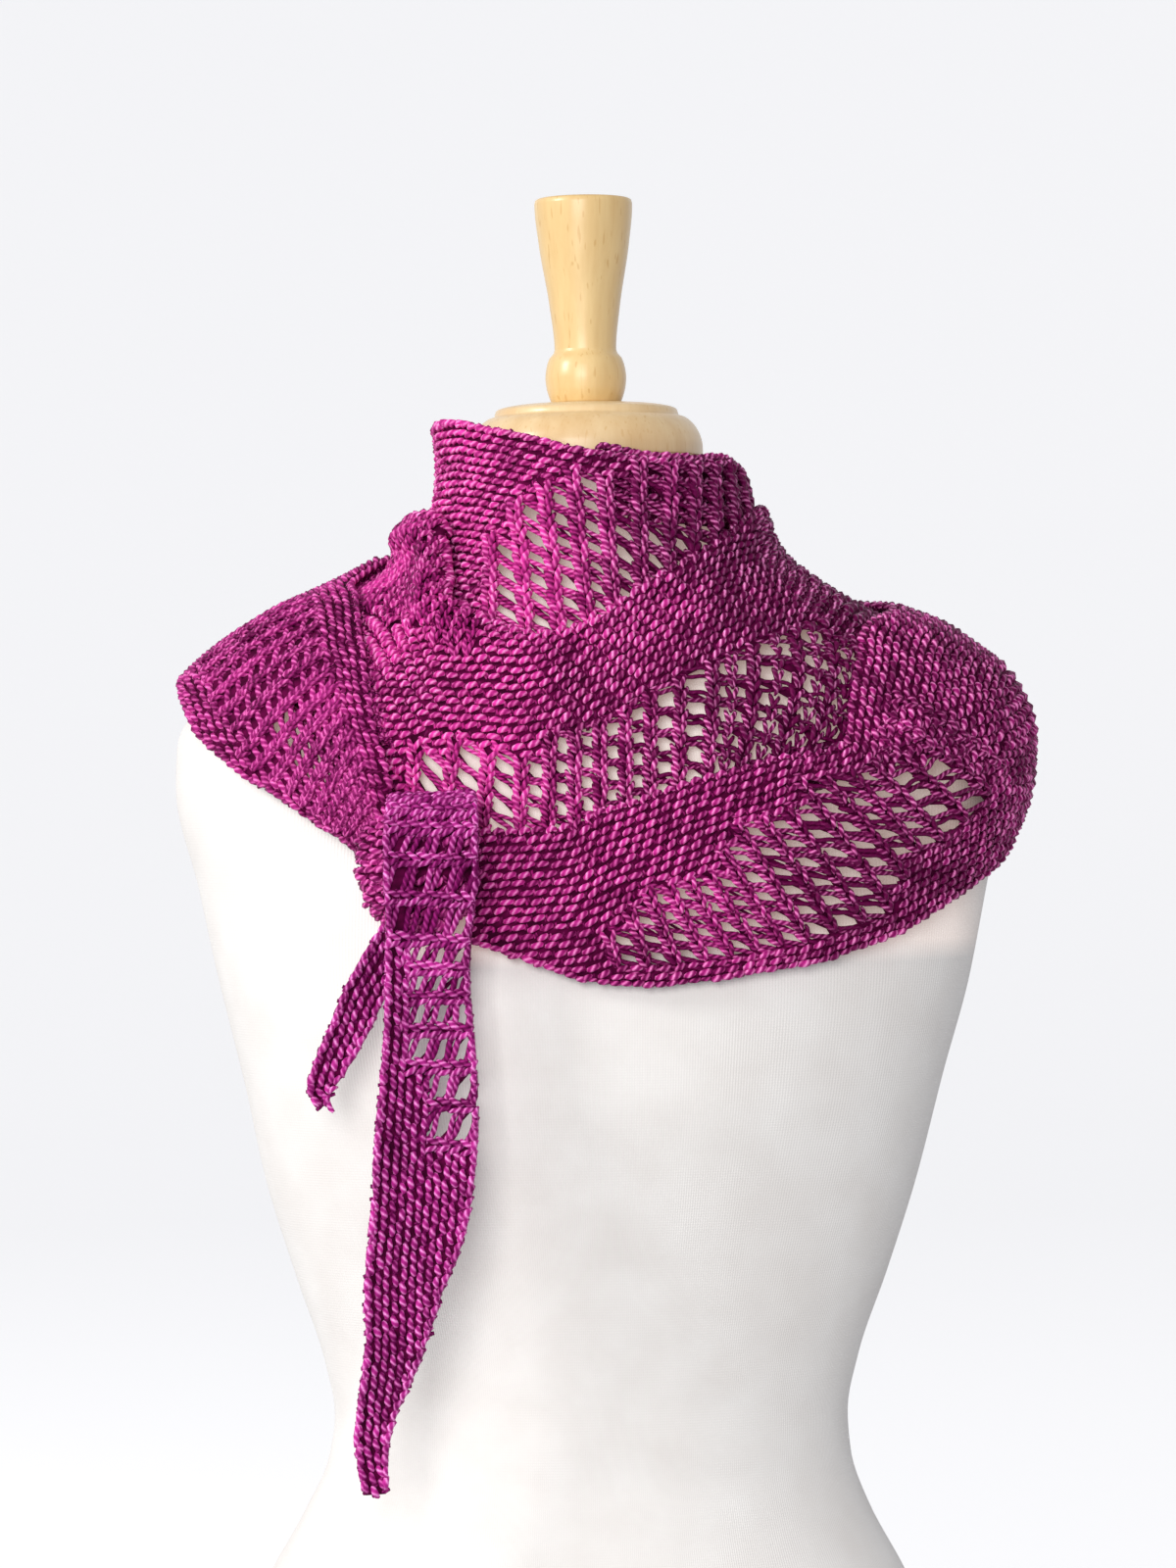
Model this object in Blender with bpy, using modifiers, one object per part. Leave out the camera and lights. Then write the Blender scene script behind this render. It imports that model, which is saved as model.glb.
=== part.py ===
"""Hand knitted shawl scarf, wound and tied on a limbless dress form with a turned wooden cap."""

import bmesh
import bpy
import numpy as np

# Wall and seams, in metres
CLOTH_WALL = 0.0022
SEAM_GAP = 0.0008
SEAT_GAP = 0.0003
ROLL_RADIUS = 0.0032
ROLL_ANGLES = (100.0, 50.0)

# Share of a rib's pitch and of a row's pitch where a lace hole starts and ends
HOLE_IN_RIB = (0.23, 0.77)
HOLE_IN_ROW = (0.20, 0.80)

# Dress form
FORM_SEGMENTS = 36
FORM_RINGS = 30
SHOULDER_RING = 14
SHOULDER_HEIGHT = 0.520
FORM_TOP = 0.681
FORM_SHARP_ANGLE = 60.0
TURNED_STEPS = 28

# Colours, roughness
MAGENTA = (0.31, 0.031, 0.16, 1.0)
JERSEY = (0.84, 0.81, 0.78, 1.0)
MAPLE = (0.80, 0.58, 0.33, 1.0)


def table(columns, rows):
    """A short table, as one array for each named column."""
    return dict(zip(columns.split(), np.array(rows, float).T))


def eased(at, stops, values):
    """Smooth curve through the stops that never overshoots them."""
    at = np.clip(at, stops[0], stops[-1])
    gaps = np.diff(stops)
    slopes = np.diff(values) / gaps
    tangents = np.concatenate([slopes[:1], np.zeros(len(slopes) - 1), slopes[-1:]])
    for i in range(1, len(slopes)):
        before, after = slopes[i - 1], slopes[i]
        if before * after > 0:
            weight_a = 2 * gaps[i] + gaps[i - 1]
            weight_b = gaps[i] + 2 * gaps[i - 1]
            tangents[i] = (weight_a + weight_b) / (weight_a / before + weight_b / after)
    i = np.clip(np.searchsorted(stops, at, side="right") - 1, 0, len(gaps) - 1)
    t = (at - stops[i]) / gaps[i]
    start = (2 * t**3 - 3 * t**2 + 1) * values[i] + (t**3 - 2 * t**2 + t) * gaps[i] * tangents[i]
    end = (3 * t**2 - 2 * t**3) * values[i + 1] + (t**3 - t**2) * gaps[i] * tangents[i + 1]
    return start + end


def read(columns, key, at):
    """Every other column of a table at the given places along its key column."""
    return {name: eased(at, columns[key], values) for name, values in columns.items() if name != key}


# Rings of the bare form: a level oval at each height, the hips a little off to one side
FORM = table(
    "height half_width front back squareness shift",
    (
        (0.000, 0.1780, 0.104, 0.116, 2.30, -0.0085),
        (0.040, 0.1800, 0.106, 0.118, 2.30, -0.0085),
        (0.080, 0.1765, 0.104, 0.114, 2.30, -0.0085),
        (0.120, 0.1670, 0.099, 0.106, 2.25, -0.0085),
        (0.160, 0.1490, 0.093, 0.096, 2.20, -0.0083),
        (0.190, 0.1325, 0.088, 0.088, 2.15, -0.0075),
        (0.215, 0.1225, 0.085, 0.084, 2.15, -0.0057),
        (0.235, 0.1203, 0.085, 0.083, 2.15, -0.0047),
        (0.260, 0.1250, 0.087, 0.083, 2.15, -0.0042),
        (0.300, 0.1385, 0.094, 0.087, 2.20, -0.0034),
        (0.345, 0.1526, 0.105, 0.093, 2.25, -0.0027),
        (0.391, 0.1635, 0.115, 0.099, 2.30, -0.0012),
        (0.437, 0.1755, 0.119, 0.103, 2.30, 0.0000),
        (0.483, 0.1850, 0.115, 0.106, 2.30, 0.0000),
        (0.529, 0.1950, 0.107, 0.105, 2.30, 0.0000),
        (0.550, 0.1940, 0.103, 0.103, 2.25, 0.0000),
        (0.566, 0.1860, 0.098, 0.100, 2.20, 0.0000),
        (0.578, 0.1720, 0.093, 0.096, 2.15, 0.0000),
        (0.588, 0.1560, 0.088, 0.091, 2.10, 0.0000),
        (0.598, 0.1350, 0.082, 0.086, 2.05, 0.0000),
        (0.608, 0.1120, 0.077, 0.080, 2.00, 0.0000),
        (0.618, 0.0920, 0.071, 0.074, 2.00, 0.0000),
        (0.630, 0.0750, 0.065, 0.068, 2.00, 0.0000),
        (0.645, 0.0620, 0.059, 0.061, 2.00, 0.0000),
        (0.665, 0.0560, 0.055, 0.056, 2.00, 0.0000),
        (0.681, 0.0540, 0.054, 0.054, 2.00, 0.0000),
    ),
)

# Turned wood, from the middle of the top round to the middle of the foot
CAP = table(
    "radius height",
    (
        (0.0000, 0.0260),
        (0.0300, 0.0255),
        (0.0405, 0.0240),
        (0.0424, 0.0230),
        (0.0430, 0.0215),
        (0.0433, 0.0203),
        (0.0462, 0.0192),
        (0.0490, 0.0172),
        (0.0515, 0.0142),
        (0.0534, 0.0104),
        (0.0544, 0.0060),
        (0.0545, 0.0010),
        (0.0535, 0.0000),
        (0.0000, 0.0000),
    ),
)
HANDLE = table(
    "radius height",
    (
        (0.0000, 0.0962),
        (0.0205, 0.0962),
        (0.0225, 0.0953),
        (0.0230, 0.0935),
        (0.0211, 0.0740),
        (0.0166, 0.0460),
        (0.0145, 0.0252),
        (0.0150, 0.0236),
        (0.0170, 0.0212),
        (0.0184, 0.0170),
        (0.0190, 0.0120),
        (0.0185, 0.0072),
        (0.0175, 0.0034),
        (0.0166, 0.0010),
        (0.0160, 0.0000),
        (0.0000, 0.0000),
    ),
)

# Rings of the surface that the innermost cloth lies on: the form's, but a wide funnel at the neck
DRAPE = table(
    "height half_width front back squareness",
    (
        (0.425, 0.1740, 0.1205, 0.1040, 2.30),
        (0.440, 0.1775, 0.1205, 0.1050, 2.30),
        (0.460, 0.1820, 0.1195, 0.1065, 2.30),
        (0.483, 0.1870, 0.1170, 0.1080, 2.30),
        (0.505, 0.1920, 0.1130, 0.1080, 2.30),
        (0.529, 0.1970, 0.1090, 0.1070, 2.30),
        (0.550, 0.1960, 0.1050, 0.1050, 2.25),
        (0.566, 0.1880, 0.1010, 0.1020, 2.20),
        (0.578, 0.1750, 0.0965, 0.0985, 2.20),
        (0.588, 0.1600, 0.0925, 0.0940, 2.10),
        (0.598, 0.1410, 0.0885, 0.0895, 2.05),
        (0.608, 0.1210, 0.0845, 0.0850, 2.00),
        (0.618, 0.1020, 0.0810, 0.0810, 2.00),
        (0.628, 0.0880, 0.0780, 0.0780, 2.00),
        (0.640, 0.0800, 0.0755, 0.0755, 2.00),
        (0.655, 0.0755, 0.0735, 0.0730, 2.00),
        (0.680, 0.0710, 0.0710, 0.0700, 2.00),
        (0.720, 0.0695, 0.0695, 0.0690, 2.00),
    ),
)

# A stretch of cloth runs round the form in ribs and down it from its high edge to its low edge.
# Angles are degrees round from the front, towards +X. Lifts are distances off the drape surface.
STATION = "rib high_angle high_height low_angle low_height high_lift mid_lift low_lift"
COLLAR_FRONT = table(
    STATION,
    (
        (0.0, -90, 0.7000, -90, 0.624, 0, -0.0035, -0.0016),
        (2.5, -62, 0.6975, -52, 0.612, 0, -0.0030, -0.0016),
        (4.0, -44, 0.6940, -27, 0.588, 0, 0, -0.0016),
        (5.0, -31, 0.6910, -16, 0.581, 0, 0, -0.0016),
        (6.0, -18, 0.6870, -7, 0.578, 0, 0, -0.0016),
        (7.0, -6, 0.6830, 1, 0.579, 0, 0, -0.0016),
        (8.0, 6, 0.6800, 8, 0.584, 0, 0, -0.0016),
        (9.0, 19, 0.6775, 16, 0.592, 0, 0, -0.0016),
        (10.0, 32, 0.6760, 24, 0.598, 0, 0, -0.0016),
        (11.5, 49, 0.6755, 38, 0.607, 0, 0, -0.0016),
        (13.0, 66, 0.6770, 57, 0.616, 0, 0, -0.0016),
        (15.0, 90, 0.6720, 90, 0.624, 0, 0, -0.0016),
    ),
)
COLLAR_BACK = table(
    STATION,
    (
        (0.0, 90, 0.6720, 90, 0.624, 0, 0, -0.0016),
        (3.5, 135, 0.6820, 135, 0.616, 0, 0, -0.0016),
        (7.0, 180, 0.6930, 180, 0.612, 0, 0, -0.0016),
        (10.5, 225, 0.7000, 225, 0.616, 0, -0.0020, -0.0016),
        (14.0, 270, 0.7000, 270, 0.624, 0, -0.0035, -0.0016),
    ),
)
COWL_FRONT = table(
    STATION,
    (
        (0.0, -95, 0.6480, -95, 0.598, 0.0070, 0.0050, 0.0010),
        (1.5, -78, 0.6520, -78, 0.588, 0.0070, 0.0050, 0.0010),
        (3.0, -60, 0.6510, -64, 0.572, 0.0070, 0.0050, 0.0010),
        (4.0, -52, 0.6360, -55, 0.550, 0.0070, 0.0050, 0.0010),
        (5.0, -46, 0.6200, -46, 0.520, 0.0070, 0.0050, 0.0010),
        (6.0, -38, 0.6070, -38, 0.498, 0.0070, 0.0050, 0.0010),
        (7.0, -27, 0.5980, -29, 0.488, 0.0070, 0.0050, 0.0010),
        (8.3, -15, 0.5925, -15, 0.484, 0.0070, 0.0050, 0.0010),
        (10.0, 0, 0.5970, -1, 0.488, 0.0070, 0.0050, 0.0010),
        (12.0, 17, 0.6140, 13, 0.499, 0.0070, 0.0050, 0.0010),
        (14.0, 38, 0.6290, 25, 0.510, 0.0070, 0.0050, 0.0010),
        (16.0, 67, 0.6470, 37, 0.519, 0.0070, 0.0050, 0.0010),
        (18.0, 81, 0.6510, 48, 0.528, 0.0070, 0.0050, 0.0010),
        (20.0, 87, 0.6520, 59, 0.556, 0.0070, 0.0050, 0.0010),
        (21.5, 91, 0.6520, 72, 0.580, 0.0070, 0.0050, 0.0010),
        (23.0, 95, 0.6510, 95, 0.592, 0.0070, 0.0050, 0.0010),
    ),
)
COWL_BACK = table(
    STATION,
    (
        (0.0, 95, 0.6510, 95, 0.592, 0.0070, 0.0050, 0.0010),
        (3.5, 140, 0.6480, 140, 0.585, 0.0070, 0.0050, 0.0010),
        (7.0, 180, 0.6460, 180, 0.575, 0.0070, 0.0050, 0.0010),
        (10.5, 220, 0.6470, 220, 0.585, 0.0070, 0.0050, 0.0010),
        (14.0, 265, 0.6480, 265, 0.598, 0.0070, 0.0050, 0.0010),
    ),
)
CAPE_FRONT = table(
    STATION,
    (
        (0.0, -27, 0.5030, -25, 0.4590, 0.0110, 0.0080, 0.0050),
        (2.0, -17, 0.5030, -12, 0.4490, 0.0110, 0.0080, 0.0045),
        (4.0, -7, 0.5040, -1, 0.4410, 0.0110, 0.0080, 0.0040),
        (6.0, 2, 0.5110, 12, 0.4390, 0.0110, 0.0080, 0.0040),
        (8.0, 9, 0.5150, 24, 0.4410, 0.0110, 0.0080, 0.0040),
        (10.0, 16, 0.5200, 34, 0.4445, 0.0110, 0.0080, 0.0045),
        (12.0, 26, 0.5265, 43, 0.4480, 0.0110, 0.0085, 0.0050),
        (13.5, 33, 0.5300, 50, 0.4540, 0.0110, 0.0090, 0.0055),
        (15.0, 40, 0.5350, 57, 0.4610, 0.0110, 0.0095, 0.0060),
        (16.5, 46, 0.5370, 63.5, 0.4715, 0.0110, 0.0100, 0.0065),
        (18.0, 51, 0.5410, 69.5, 0.4810, 0.0110, 0.0105, 0.0070),
        (19.5, 53.5, 0.5550, 78, 0.4950, 0.0110, 0.0110, 0.0070),
        (21.0, 56, 0.5680, 84, 0.5120, 0.0110, 0.0115, 0.0070),
        (22.5, 60, 0.5800, 88, 0.5300, 0.0110, 0.0120, 0.0080),
        (24.0, 68, 0.5920, 91, 0.5470, 0.0110, 0.0130, 0.0095),
        (26.0, 95, 0.6000, 95, 0.5560, 0.0115, 0.0130, 0.0110),
    ),
)
CAPE_BACK = table(
    STATION,
    (
        (0.0, 95, 0.6000, 95, 0.556, 0.0115, 0.0130, 0.0110),
        (3.0, 118, 0.6040, 116, 0.532, 0.0115, 0.0105, 0.0070),
        (6.0, 140, 0.6080, 138, 0.510, 0.0115, 0.0090, 0.0050),
        (9.0, 165, 0.6120, 165, 0.494, 0.0115, 0.0085, 0.0040),
        (12.0, 190, 0.6140, 190, 0.490, 0.0115, 0.0085, 0.0040),
        (15.0, 215, 0.6160, 217, 0.502, 0.0120, 0.0090, 0.0050),
        (18.0, 240, 0.6230, 243, 0.530, 0.0125, 0.0105, 0.0070),
        (20.0, 265, 0.6250, 265, 0.573, 0.0130, 0.0135, 0.0120),
    ),
)
LEFT_DRAPE = table(
    STATION,
    (
        (0.0, -95, 0.6250, -95, 0.573, 0.0130, 0.0135, 0.0120),
        (2.0, -80, 0.6130, -86, 0.571, 0.0130, 0.0140, 0.0115),
        (4.0, -68, 0.6070, -79, 0.565, 0.0130, 0.0135, 0.0105),
        (5.5, -61, 0.5990, -74, 0.555, 0.0125, 0.0120, 0.0090),
        (7.0, -56, 0.5890, -69, 0.545, 0.0120, 0.0115, 0.0080),
        (8.5, -52, 0.5790, -64, 0.534, 0.0120, 0.0110, 0.0080),
        (10.0, -49.5, 0.5680, -59, 0.526, 0.0120, 0.0110, 0.0080),
        (12.0, -46.5, 0.5520, -53.5, 0.515, 0.0120, 0.0110, 0.0085),
        (14.0, -43.5, 0.5350, -49, 0.507, 0.0125, 0.0125, 0.0110),
        (16.0, -41, 0.5160, -46, 0.500, 0.0118, 0.0110, 0.0110),
        (18.0, -38, 0.5060, -42, 0.489, 0.0078, 0.0076, 0.0078),
    ),
)

# Soft ridges and troughs of a stretch, each from one place to another, in ribs and shares of the way down
FOLD = "start_rib start_share end_rib end_share width rise"
COWL_FOLDS = table(
    FOLD,
    (
        (0.0, 0.16, 8.5, 0.08, 0.011, 0.0065),
        (0.0, 0.52, 7.5, 0.24, 0.010, -0.0020),
        (10.0, 0.30, 22.0, 0.40, 0.020, 0.0015),
    ),
)
CAPE_FOLDS = table(
    FOLD,
    (
        (18.0, 0.05, 24.0, 0.55, 0.012, 0.0030),
        (20.0, 0.20, 25.0, 0.20, 0.010, 0.0020),
        (2.0, 0.30, 16.0, 0.20, 0.014, 0.0015),
    ),
)
DRAPE_FOLDS = table(
    FOLD,
    (
        (1.0, 0.35, 15.0, 0.50, 0.012, 0.0015),
        (2.0, 0.70, 12.0, 0.85, 0.010, -0.0010),
    ),
)
BACK_FOLDS = table(
    FOLD,
    (
        (2.0, 0.20, 10.0, 0.45, 0.014, 0.0030),
        (9.0, 0.15, 18.0, 0.35, 0.012, 0.0025),
    ),
)
NO_FOLDS = table(FOLD, ((0.0, 0.0, 1.0, 0.0, 0.010, 0.0),))

# How the collar's rows are spaced: this many rows over the part above the cowl, the rest below it
PACE = "rib shown_rows shown_share"
COLLAR_PACE = table(
    PACE,
    (
        (0.0, 8.0, 0.80),
        (5.0, 9.8, 0.88),
        (7.0, 9.6, 0.87),
        (9.0, 6.6, 0.74),
        (10.0, 5.4, 0.68),
        (11.5, 4.0, 0.58),
        (13.0, 3.2, 0.50),
        (15.0, 2.6, 0.45),
    ),
)

# Lace bands: the rows where the holes start and end on the way down, at each rib
LACE = "rib start end"
COLLAR_LACE = table(
    LACE,
    (
        (4.0, 6.3, 9.0),
        (5.0, 4.2, 10.0),
        (6.0, 2.8, 10.0),
        (7.0, 1.4, 9.8),
        (8.0, 1.0, 8.6),
        (9.0, 0.5, 7.0),
        (10.0, 0.4, 5.8),
        (11.5, 0.3, 4.4),
        (13.0, 0.3, 3.4),
        (15.0, 0.4, 2.6),
    ),
)
COWL_UPPER_LACE = table(LACE, ((1.0, 1.0, 6.0), (4.0, 0.6, 3.2), (7.0, 0.4, 1.9)))
COWL_LOWER_LACE = table(
    LACE,
    ((6.0, 7.3, 9.4), (7.0, 6.3, 9.8), (10.0, 5.2, 9.6), (13.0, 5.4, 10.0), (16.0, 5.2, 10.4), (18.0, 7.0, 10.4)),
)
CAPE_LACE = table(
    LACE,
    (
        (5.0, 7.2, 8.4),
        (6.0, 5.8, 8.4),
        (8.0, 4.2, 8.4),
        (10.0, 3.8, 8.4),
        (12.0, 2.4, 8.4),
        (14.0, 1.7, 8.0),
        (16.5, 0.9, 6.4),
        (18.0, 0.9, 6.0),
        (22.5, 0.9, 6.0),
        (25.0, 0.9, 5.0),
    ),
)
DRAPE_LACE = table(LACE, ((3.0, 2.8, 6.4), (6.0, 2.0, 6.4), (10.0, 2.8, 6.8), (12.0, 3.2, 6.4)))
TAIL_LACE = table(LACE, ((1.0, 1.0, 4.0), (8.0, 1.0, 4.0), (10.0, 1.6, 4.0), (13.5, 3.0, 4.0)))

# Hanging tails: the middle line, half the width, and how far the middle bulges to the front
PATH = "step across depth height half_width bulge"
LONG_TAIL = table(
    PATH,
    (
        (0, -0.0700, -0.1225, 0.5195, 0.0165, 0.0000),
        (1, -0.0710, -0.1275, 0.5235, 0.0180, 0.0000),
        (2, -0.0715, -0.1350, 0.5215, 0.0190, 0.0005),
        (3, -0.0720, -0.1405, 0.5120, 0.0198, 0.0015),
        (4, -0.0725, -0.1440, 0.4900, 0.0200, 0.0030),
        (5, -0.0740, -0.1420, 0.4600, 0.0178, 0.0040),
        (6, -0.0750, -0.1410, 0.4400, 0.0180, 0.0040),
        (7, -0.0746, -0.1400, 0.4165, 0.0194, 0.0040),
        (8, -0.0753, -0.1385, 0.3900, 0.0212, 0.0040),
        (9, -0.0771, -0.1370, 0.3620, 0.0220, 0.0040),
        (10, -0.0805, -0.1350, 0.3350, 0.0207, 0.0040),
        (11, -0.0872, -0.1330, 0.3070, 0.0170, 0.0035),
        (12, -0.0925, -0.1310, 0.2765, 0.0124, 0.0030),
        (13, -0.1003, -0.1290, 0.2500, 0.0082, 0.0020),
        (14, -0.1029, -0.1280, 0.2320, 0.0066, 0.0010),
        (15, -0.1018, -0.1270, 0.2120, 0.0046, 0.0000),
    ),
)
SHORT_TAIL = table(
    PATH,
    (
        (0, -0.0890, -0.1265, 0.4644, 0.0060, 0.0000),
        (1, -0.0962, -0.1265, 0.4490, 0.0078, 0.0010),
        (2, -0.1041, -0.1260, 0.4350, 0.0084, 0.0015),
        (3, -0.1115, -0.1250, 0.4190, 0.0076, 0.0015),
        (4, -0.1195, -0.1230, 0.4040, 0.0066, 0.0010),
        (5, -0.1240, -0.1220, 0.3930, 0.0048, 0.0005),
        (6, -0.1235, -0.1215, 0.3860, 0.0018, 0.0000),
    ),
)

# Knot: gathered wraps, as one rounded solid
KNOT_CENTRE = (-0.0785, -0.1269, 0.4900)
KNOT_HALF_SIZE = (0.0260, 0.0095, 0.0270)
KNOT_TURN = -13.0
KNOT_TAPER = 0.18
KNOT_FULLNESS = 0.8
KNOT_WRAPS = 4
KNOT_WRAP_DEPTH = 0.0012
KNOT_SEGMENTS = 24
KNOT_RINGS = 16


def oval(rings, angle, height):
    """Point on a ring table's surface. The angle is in radians round from the front."""
    ring = read(rings, "height", height)
    depth = np.where(np.cos(angle) > 0, ring["front"], ring["back"])
    across = np.abs(np.sin(angle) / ring["half_width"]) ** ring["squareness"]
    along = np.abs(np.cos(angle) / depth) ** ring["squareness"]
    radius = (across + along) ** (-1 / ring["squareness"])
    return np.stack([radius * np.sin(angle), -radius * np.cos(angle), height + 0 * radius], -1)


def lifted(angle, height, lift):
    """Point off the drape surface, out along its normal."""
    turn, rise = 0.01, 0.0015
    round_it = oval(DRAPE, angle + turn, height) - oval(DRAPE, angle - turn, height)
    up_it = oval(DRAPE, angle, height + rise) - oval(DRAPE, angle, height - rise)
    normal = np.cross(round_it, up_it)
    normal /= np.linalg.norm(normal, axis=-1, keepdims=True)
    return oval(DRAPE, angle, height) + normal * lift[..., None]


def fold_lift(folds, rib, share, length):
    """Height of the soft folds at a rib and a share of the way down it."""
    total = np.zeros_like(share)
    for i in range(len(folds["rise"])):
        start, end = folds["start_rib"][i], folds["end_rib"][i]
        along = np.clip((rib - start) / (end - start), 0, 1)
        middle = folds["start_share"][i] + (folds["end_share"][i] - folds["start_share"][i]) * along
        fade = np.sin(np.pi * np.clip((rib - start + 1) / (end - start + 2), 0, 1)) ** 0.5
        off = (share - middle) * length / folds["width"][i]
        total += folds["rise"][i] * fade * np.exp(-(off**2))
    return total


def row_shares(rows, row_count, pace, rib):
    """Share of the way down for each row line: even, or paced by a table where a stretch dips under another."""
    if pace is None:
        return rows / row_count
    shown = read(pace, "rib", rib)
    stops = (0.0, shown["shown_rows"], row_count)
    return np.interp(rows, stops, (0.0, shown["shown_share"], 1.0))


def stretch_surface(stations, folds, pace, ribs, rows, rolled):
    """Grid of points of a stretch: one line down it for each rib place, rolled at its high edge."""
    lines = []
    fine = np.linspace(0, 1, 49)
    for rib in ribs:
        place = read(stations, "rib", rib)
        shares = row_shares(rows, rows[-1], pace, rib)
        high, low = np.radians(place["high_angle"]), np.radians(place["low_angle"])

        def at(way, length):
            lift = (
                place["high_lift"] * (1 - way) * (1 - 2 * way)
                + place["mid_lift"] * 4 * way * (1 - way)
                + place["low_lift"] * way * (2 * way - 1)
            )
            height = place["high_height"] + (place["low_height"] - place["high_height"]) * way
            lift = lift + fold_lift(folds, rib, way, length)
            return lifted(high + (low - high) * way, height, lift)

        flat_steps = np.linalg.norm(np.diff(at(fine, 1.0), axis=0), axis=1)
        length = flat_steps.sum()
        steps = np.linalg.norm(np.diff(at(fine, length), axis=0), axis=1)
        travelled = np.concatenate([[0], np.cumsum(steps)])
        way = np.interp(shares * travelled[-1], travelled, fine)
        line = at(way, length)
        if rolled:
            line = np.concatenate([rolled_edge(line, at(np.array([0.0, 0.02]), length), high), line])
        lines.append(line)
    return np.array(lines)


def rolled_edge(line, edge, angle):
    """Points that carry the high edge over and in towards the form."""
    up = edge[0] - edge[1]
    up /= np.linalg.norm(up)
    side = np.array([np.cos(angle), np.sin(angle), 0.0])
    out = np.cross(side, up)
    out /= np.linalg.norm(out)
    turns = np.radians(ROLL_ANGLES)[:, None]
    return line[0] + ROLL_RADIUS * (np.sin(turns) * up + (np.cos(turns) - 1) * out)


def ribbon_surface(path, steps, shares):
    """Grid of points of a hanging tail, from its left edge to its right edge at each step."""
    place = read(path, "step", steps)
    middle = np.stack([place["across"], place["depth"], place["height"]], -1)
    ahead = np.gradient(middle, axis=0)
    ahead /= np.linalg.norm(ahead, axis=1, keepdims=True)
    side = np.array([1.0, 0.0, 0.0]) - ahead[:, :1] * ahead
    side /= np.linalg.norm(side, axis=1, keepdims=True)
    front = np.cross(side, ahead)
    off = (2 * shares - 1)[None, :, None]
    points = middle[:, None] + side[:, None] * off * place["half_width"][:, None, None]
    return points + front[:, None] * (1 - off**2) * place["bulge"][:, None, None]


def band_lines(first, last, holes):
    """Grid lines over a whole number of pitches, with two for each hole."""
    return np.sort(np.concatenate([[first, last]] + [np.arange(first, last) + edge for edge in holes]))


def cloth(name, surface, open_cells, plain_blocks, collection, material):
    """A wall of cloth on a grid of points, with cells left open and plain blocks merged to one face."""
    across, down = surface.shape[0], surface.shape[1]
    bm = bmesh.new()
    bmesh.ops.create_grid(bm, x_segments=across - 1, y_segments=down - 1, size=0.5)
    index = {}
    for vert in bm.verts:
        i = round((vert.co.x + 0.5) * (across - 1))
        j = round((vert.co.y + 0.5) * (down - 1))
        index[vert] = (i, j)
    opened = []
    cell_of = {}
    for face in bm.faces:
        cell = (min(index[v][0] for v in face.verts), min(index[v][1] for v in face.verts))
        cell_of[face] = cell
        if cell in open_cells:
            opened.append(face)
    for vert, (i, j) in index.items():
        vert.co = surface[i, j]
    inner = []
    for edge in bm.edges:
        cells = [cell_of[face] for face in edge.link_faces]
        blocks = {plain_blocks.get(cell) for cell in cells}
        if len(cells) == 2 and len(blocks) == 1 and None not in blocks:
            inner.append(edge)
    bmesh.ops.delete(bm, geom=opened, context="FACES")
    bmesh.ops.dissolve_edges(bm, edges=inner, use_verts=True)
    mesh = bpy.data.meshes.new(name)
    bm.to_mesh(mesh)
    bm.free()
    mesh.shade_smooth()
    mesh.materials.append(material)
    piece = bpy.data.objects.new(name, mesh)
    collection.objects.link(piece)
    wall = piece.modifiers.new("wall", "SOLIDIFY")
    wall.thickness = CLOTH_WALL
    wall.offset = 0.0
    return piece


def lace_cells(rib_count, row_count, laces, roll_cells):
    """Cells of the grid that are holes, and the block that each cell of plain cloth belongs to.

    A pitch has two cells, the knitted one and then the one that may be open. The last knitted cell stands alone.
    """
    open_cells = set()
    plain_blocks = {}
    for rib in range(rib_count + 1):
        for row in range(row_count + 1):
            open_here = False
            for lace in laces:
                if rib < rib_count and row < row_count and lace["rib"][0] <= rib + 0.5 <= lace["rib"][-1]:
                    band = read(lace, "rib", rib + 0.5)
                    open_here = open_here or band["start"] <= row + 0.5 <= band["end"]
            if open_here:
                open_cells.add((2 * rib + 1, roll_cells + 2 * row + 1))
                continue
            for cell in ((0, 0), (0, 1), (1, 0), (1, 1)):
                plain_blocks[(2 * rib + cell[0], roll_cells + 2 * row + cell[1])] = (rib, row)
    for cell in range(2 * rib_count + 1):
        for roll in range(roll_cells):
            plain_blocks[(cell, roll)] = (cell // 2, -1 - roll)
    return open_cells, plain_blocks


def wound_stretch(name, stations, folds, pace, laces, row_count, rolled, seams, collection, material):
    """One stretch of the shawl, round the form. A seam at either end is set in by half the gap."""
    rib_count = int(stations["rib"][-1])
    ribs = band_lines(0, rib_count, HOLE_IN_RIB)
    rows = band_lines(0, row_count, HOLE_IN_ROW)
    surface = stretch_surface(stations, folds, pace, ribs, rows, rolled)
    roll_cells = len(ROLL_ANGLES) if rolled else 0
    open_cells, plain_blocks = lace_cells(rib_count, row_count, laces, roll_cells)
    for end, way, sealed in ((0, 1, seams[0]), (-1, -1, seams[1])):
        if sealed:
            round_it = np.stack([-surface[end, :, 1], surface[end, :, 0], 0 * surface[end, :, 0]], -1)
            round_it /= np.linalg.norm(round_it, axis=1, keepdims=True)
            surface[end] += round_it * way * SEAM_GAP / 2
    return cloth(name, surface, open_cells, plain_blocks, collection, material)


def tail(name, path, lengths, widths, laces, collection, material):
    """A hanging tail with its lace, as a wall of cloth."""
    steps = band_lines(0, lengths, HOLE_IN_ROW) * path["step"][-1] / lengths
    shares = band_lines(0, widths, HOLE_IN_RIB) / widths
    surface = ribbon_surface(path, steps, shares)
    open_cells, plain_blocks = lace_cells(lengths, widths, laces, 0)
    return cloth(name, surface, open_cells, plain_blocks, collection, material)


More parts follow.
